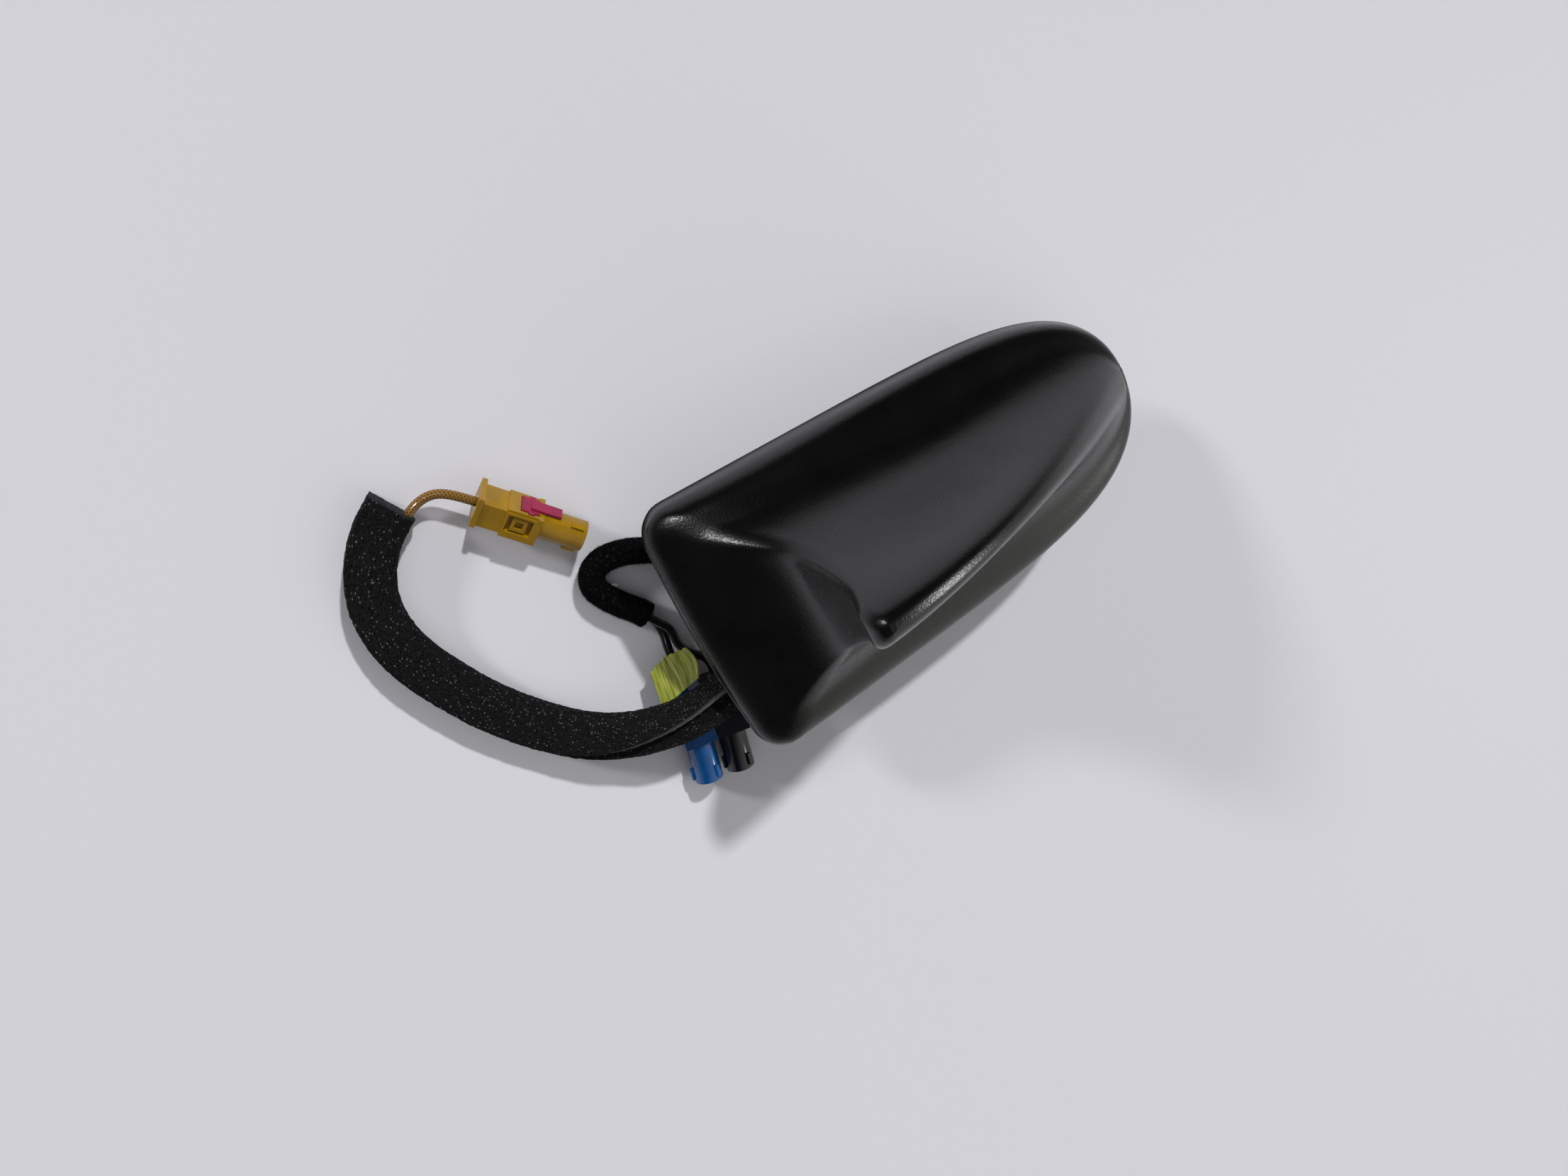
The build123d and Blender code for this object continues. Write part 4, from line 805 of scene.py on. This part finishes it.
# as the rows run, the faces would look down, so each is turned round
faces = [face[::-1] for face in grid_faces(rows + 1, columns + 1, closed=False)]
flat_points = np.array([
    (c / columns * TAPE_FLAT[0], r / rows * TAPE_FLAT[1])
    for r in range(rows + 1) for c in range(columns + 1)
])
mesh = bpy.data.meshes.new("crepe_flag")
mesh.from_pydata((MM * points).tolist(), [], faces)
layer = mesh.uv_layers.new(name="along")
layer.uv.foreach_set("vector", flat_points[np.array(faces).ravel()].astype(np.float32).ravel())
mesh.polygons.foreach_set("use_smooth", [True] * len(faces))
mesh.materials.append(crepe_green)
tape = link_object("crepe_flag", mesh)
solid = tape.modifiers.new("thickness", "SOLIDIFY")
solid.thickness = MM * TAPE_THICKNESS
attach(tape, "root")
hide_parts("tape_flag")
print("crepe flag", len(faces), "faces")

# %% [markdown]
# ## Moulded cover
# The cover is injection moulded in black ASA, and the tool was spark eroded, which gives a fine even
# grain. So it mirrors the room softly, and only a lamp's own reflection breaks up into sparkles. As
# geometry the grain would take millions of faces, so it is a bump of small domes. The real grain of
# about 0.15 mm would be lost in the picture, so it is drawn at 0.6 mm, with a slower unevenness from
# handling.

# %% Moulded cover
GRAIN = 0.6
GRAIN_RELIEF = 0.12
SMEAR = 14.0
SMEAR_RANGE = (0.3, 0.7)
COVER_ROUGHNESS = (0.25, 0.32)


def finish_node(name, material):
    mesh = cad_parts[name].data
    mesh.materials.clear()
    mesh.materials.append(material)


# spark-eroded ASA: near black in itself, satin, and a little duller where it was handled
cover_asa, tree, shader = start_material(
    "black_asa_spark_eroded", Base_Color=linear("#040405"), IOR=1.53,
    Coat_Weight=0.35, Coat_Roughness=0.35,
)
place = add(tree, "ShaderNodeTexCoord").outputs["Object"]
pattern = {"Vector": place, "Scale": per_mm(GRAIN)}
grain = add(tree, "ShaderNodeTexVoronoi", pattern, feature="SMOOTH_F1").outputs["Distance"]
relief = {"Strength": 0.4, "Distance": GRAIN_RELIEF * MM, "Height": grain}
bump = add(tree, "ShaderNodeBump", relief, invert=True)
tree.links.new(bump.outputs["Normal"], shader.inputs["Normal"])
pattern = {"Vector": place, "Scale": per_mm(SMEAR), "Detail": 3.0}
smear = add(tree, "ShaderNodeTexNoise", pattern).outputs["Fac"]
dull = add(
    tree, "ShaderNodeMapRange",
    {"Value": smear, "From Min": SMEAR_RANGE[0], "From Max": SMEAR_RANGE[1],
     "To Min": COVER_ROUGHNESS[0], "To Max": COVER_ROUGHNESS[1]},
)
tree.links.new(dull.outputs["Result"], shader.inputs["Roughness"])
finish_node("cover", cover_asa)
print("cover", len(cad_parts["cover"].data.polygons), "faces")

# %% [markdown]
# ## Plugs
# The plugs are small mouldings in glass-filled polyester, which has a satin skin and softly rounded
# edges. The solids could carry those rounds, but a modifier makes all of them at once: a Weld
# modifier joins the loose triangles of a solid, and a Bevel modifier then rounds every sharp edge, so
# that it catches the light as a moulded edge does.

# %% Plug finishes
PLUG_EDGE = 0.16
EDGE_STEPS = 2
SHARP_FROM = 40
WELD_REACH = 0.002
FLOW = 5.0
FLOW_RANGE = (0.35, 0.65)
SKIN = 0.5
SKIN_RELIEF = 0.1
# colour, its darker shade, roughness, and the nodes that are moulded in it
MOULDED = {
    # warm and dull, with a soft shine
    "yellow_pbt": ("#9c7602", "#926e02", 0.4, ["radio_plug_housing"]),
    # deep and clean, with a sharper shine along the barrel
    "blue_pbt": ("#06508f", "#04437b", 0.22, ["nav_plug_housing"]),
    # all but black: only its shine shows the form
    "navy_pbt": ("#050816", "#040610", 0.22, ["broadcast_plug_housing"]),
    # strong and even, so that a lock is easy to find
    "magenta_pbt": ("#960d42", "#820838", 0.4, [name + "_plug_lock" for name in LEADS]),
    # milky white and waxy
    "white_ptfe": ("#e6e6e2", "#d8d8d2", 0.5, [name + "_plug_insulator" for name in LEADS]),
}
for name, (colour, shade, roughness, nodes) in MOULDED.items():
    material, tree, shader = start_material(name + "_moulded", Roughness=roughness, IOR=1.56)
    place = add(tree, "ShaderNodeTexCoord").outputs["Object"]
    pattern = {"Vector": place, "Scale": per_mm(FLOW), "Detail": 3.0}
    flow = add(tree, "ShaderNodeTexNoise", pattern).outputs["Fac"]
    ramp = add(tree, "ShaderNodeValToRGB", {"Fac": flow}, zip(FLOW_RANGE, (shade, colour)))
    tree.links.new(ramp.outputs["Color"], shader.inputs["Base Color"])
    skin = add(tree, "ShaderNodeTexNoise", {"Vector": place, "Scale": per_mm(SKIN)}).outputs["Fac"]
    relief = {"Strength": 0.08, "Distance": SKIN_RELIEF * MM, "Height": skin}
    bump = add(tree, "ShaderNodeBump", relief)
    tree.links.new(bump.outputs["Normal"], shader.inputs["Normal"])
    for node in nodes:
        finish_node(node, material)
        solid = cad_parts[node]
        weld = solid.modifiers.new("join", "WELD")
        weld.merge_threshold = MM * WELD_REACH
        edge = solid.modifiers.new("edges", "BEVEL")
        edge.width = MM * PLUG_EDGE
        edge.segments = EDGE_STEPS
        edge.limit_method = "ANGLE"
        edge.angle_limit = math.radians(SHARP_FROM)
        edge.harden_normals = True
print("moulded", list(MOULDED))

# %% [markdown]
# ## Metal, rubber and inner pieces
# The pieces under the cover and the foot are finished too: as-cast aluminium, EPDM rubber, plated
# steel, tinned sheet, fired ceramic and solder resist. Each could have a tree of its own, but they
# differ only in their values and in how fine their unevenness is. So one loop gives them a colour
# that varies between two shades and a fine bump of a real size.

# %% Other finishes
UNEVEN_RANGE = (0.35, 0.65)
UNEVEN_RELIEF = 0.1
CONTACTS = [name + end for name in LEADS for end in ("_plug_shell", "_plug_pin")]
# colour, its darker shade, roughness, metallic, size of the unevenness in millimetres, and the nodes
OTHERS = {
    # as it comes from the die: pale grey and blotchy, with a blurred shine
    "die_cast_aluminium": ("#b9bbbd", "#9fa2a5", 0.45, 1.0, 1.2, ["base_casting"]),
    # pressed in a dull tool: soft dark grey with hardly a shine
    "epdm_rubber": (
        "#171717", "#101010", 0.7, 0.0, 0.6, ["roof_seal", "foot_gasket", "cable_grommet"],
    ),
    # rolled and plated: bright, with a warm cast
    "zinc_plated_steel": ("#c6c4ba", "#b2afa2", 0.32, 1.0, 0.8, []),
    # printed lacquer on laminate: even green with a clear shine
    "green_solder_resist": ("#12552f", "#0c4526", 0.35, 0.0, 3.0, ["circuit_board"]),
    # pressed and fired: chalky cream
    "fired_ceramic": ("#c9c3b2", "#bdb6a4", 0.6, 0.0, 0.5, ["radio_patch", "nav_patch"]),
    # stamped and tin dipped: silvery, with slow waves in its shine
    "tinned_sheet": ("#c8c8c4", "#b6b6b2", 0.3, 1.0, 2.0, ["fin_element", "shield_can"]),
    # drawn wire under clear enamel: reddish with thin bright lines
    "enamelled_copper": ("#b4663a", "#9c5530", 0.35, 1.0, 0.5, []),
    # turned and plated: pale gold and bright
    "plated_brass": (
        "#d8bb72", "#c6a75e", 0.27, 1.0, 0.6, ["patch_feed_pins", "fin_element_clip"] + CONTACTS,
    ),
    # extruded, as on the leads outside: near black with a soft shine
    "inner_pvc": ("#0d0d0e", "#09090a", 0.3, 0.0, 2.0, ["inner_leads"]),
}
for name, (colour, shade, roughness, metallic, size, nodes) in OTHERS.items():
    material, tree, shader = start_material(name, Roughness=roughness, Metallic=metallic)
    place = add(tree, "ShaderNodeTexCoord").outputs["Object"]
    pattern = {"Vector": place, "Scale": per_mm(size), "Detail": 3.0}
    uneven = add(tree, "ShaderNodeTexNoise", pattern).outputs["Fac"]
    ramp = add(tree, "ShaderNodeValToRGB", {"Fac": uneven}, zip(UNEVEN_RANGE, (shade, colour)))
    tree.links.new(ramp.outputs["Color"], shader.inputs["Base Color"])
    relief = {"Strength": 0.12, "Distance": UNEVEN_RELIEF * MM, "Height": uneven}
    bump = add(tree, "ShaderNodeBump", relief)
    tree.links.new(bump.outputs["Normal"], shader.inputs["Normal"])
    for node in nodes:
        finish_node(node, material)
print("others", list(OTHERS))

# %% [markdown]
# ## Screws
# Five screws from below hold the cover to the casting, and four hold the board. They are rolled from
# wire, with a six-lobe drive pressed into the head. One screw could be cut with Booleans, but a stack
# of rings is a cleaner mesh: the lobes are a wave in the radius of the inner rings, and the thread is
# a wave that turns as it goes down the shank. A node tree sets one on each place, each turned to its
# own angle, because no driver stops at the same one.

# %% One screw
SCREW_SIDES = 48
# shares of the head's radius and height, and of the shank's radius
DRIVE_SHARE = 0.5
DRIVE_TAPER = 0.92
DRIVE_DEPTH = 0.6
LOBES = 6
LOBE = 0.14
POINT_SHARE = 0.4
# sizes in millimetres
DRIVE_EDGE = 0.1
HEAD_ROUND = 0.3
THREAD_PITCH = 1.1
THREAD_DEPTH = 0.3
THREAD_STEP = 0.18


def screw_rings(angles, head_radius, head_height, shank_radius, length):
    # the radius and level of each ring, from the floor of the drive out over the head to the point
    drive = DRIVE_SHARE * head_radius * (1 + LOBE * np.cos(LOBES * angles))
    rings = [
        (drive * DRIVE_TAPER, -DRIVE_DEPTH * head_height), (drive, -DRIVE_EDGE),
        (drive + DRIVE_EDGE, 0.0), (head_radius - HEAD_ROUND, 0.0),
        (head_radius, -HEAD_ROUND), (head_radius, -head_height),
    ]
    for depth in np.arange(head_height, length, THREAD_STEP):
        wave = 0.5 + 0.5 * np.cos(angles - 2 * math.pi * depth / THREAD_PITCH)
        rings.append((shank_radius - THREAD_DEPTH * wave, -depth))
    return rings + [(POINT_SHARE * shank_radius, -length)]


def screw_mesh(name, sizes, facing):
    count = SCREW_SIDES
    angles = np.arange(count) * 2 * math.pi / count
    rings = screw_rings(angles, *sizes)
    points = []
    for radius, level in rings:
        ring = [radius * np.cos(angles), radius * np.sin(angles), np.full(count, level)]
        points.append(np.column_stack(ring) * (1, facing, facing))
    faces = [(a, d, c, b) for a, b, c, d in grid_faces(len(rings), count, closed=True)]
    last = (len(rings) - 1) * count
    faces += [tuple(range(count)), tuple(range(last + count - 1, last - 1, -1))]
    mesh = bpy.data.meshes.new(name)
    mesh.from_pydata((MM * np.vstack(points)).tolist(), [], faces)
    return mesh


print("screw thread of", THREAD_PITCH, "mm pitch")

# %% Screws in their places
# head radius, head height, shank radius and length, which way the head looks, level, and places
SCREWS = {
    "cover": (
        (2.8, 1.6, 1.5, 10.6), -1, 1.5,
        [(66.0, 0.0), (-50.0, -19.0), (3.0, -30.0), (-50.0, 19.0), (3.0, 30.0)],
    ),
    "board": (
        (2.3, 1.4, 1.25, 5.9), 1, 11.5,
        [(-31.5, -20.5), (53.5, -8.5), (-31.5, 20.5), (53.5, 8.5)],
    ),
}
for name, (sizes, facing, level, places) in SCREWS.items():
    one = bpy.data.objects.new("one_screw", screw_mesh("one_screw", sizes, facing))
    tree, given = start_tree(name + "_screws_on_places", ["Most turn"])
    angle = {2: 0.0, 3: given["Most turn"], "Seed": SEED}
    angle = add(tree, "FunctionNodeRandomValue", angle).outputs[1]
    turn = add(tree, "ShaderNodeCombineXYZ", {"Z": angle}).outputs["Vector"]
    turned = add(tree, "FunctionNodeEulerToRotation", {"Euler": turn}).outputs["Rotation"]
    screw = add(tree, "GeometryNodeObjectInfo", {"Object": one}).outputs["Geometry"]
    planted = add(
        tree, "GeometryNodeInstanceOnPoints",
        {"Points": given["Given"], "Instance": screw, "Rotation": turned},
    )
    end_tree(tree, planted.outputs["Instances"], bpy.data.materials["zinc_plated_steel"])
    spots = bpy.data.meshes.new(name + "_screw_set")
    spots.from_pydata([(MM * x, MM * y, MM * level) for x, y in places], [], [])
    screws = link_object(name + "_screw_set", spots)
    make_plain(screws, tree, {"Most turn": 2 * math.pi})
    bpy.data.objects.remove(one)
    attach(screws, "root")
    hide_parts(name + "_screws")

# %% [markdown]
# ## Loading coil
# The fin's plate is too short for the longest waves, so a coil of enamelled wire lengthens it. The
# wire is wound on a pin and stands on the board by itself. A Screw modifier could wind it, but a node
# tree has a spiral ready and takes its sizes by name: a spiral swept with a round section.

# %% Loading coil
COIL_FOOT = (-22.0, -12.5, 10.6)
COIL_SIZES = {
    "Coil radius": 3.05 * MM, "Wire radius": 0.45 * MM, "Coil height": 7.0 * MM, "Windings": 6.5,
}
WINDING_STEPS = 40
WIRE_SIDES = 12

tree, given = start_tree("wound_coil", COIL_SIZES)
radius = given["Coil radius"]
spiral = add(
    tree, "GeometryNodeCurveSpiral",
    {"Resolution": WINDING_STEPS, "Rotations": given["Windings"], "Start Radius": radius,
     "End Radius": radius, "Height": given["Coil height"]},
)
section = {"Resolution": WIRE_SIDES, "Radius": given["Wire radius"]}
section = add(tree, "GeometryNodeCurvePrimitiveCircle", section).outputs["Curve"]
wire = add(
    tree, "GeometryNodeCurveToMesh",
    {"Curve": spiral.outputs["Curve"], "Profile Curve": section, "Fill Caps": True},
)
stood = add(
    tree, "GeometryNodeTransform",
    {"Geometry": wire.outputs["Mesh"], "Translation": [MM * v for v in COIL_FOOT]},
)
end_tree(tree, stood.outputs["Geometry"], bpy.data.materials["enamelled_copper"])
coil = link_object("wound_coil", bpy.data.meshes.new("wound_coil"))
make_plain(coil, tree, COIL_SIZES)
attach(coil, "root")
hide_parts("loading_coil")

# %% [markdown]
# ## The soft pieces
# The names of the soft pieces are printed: the three leads, the foam strip and the crepe flag.

print("declared", list(LEADS), foam.name, tape.name)
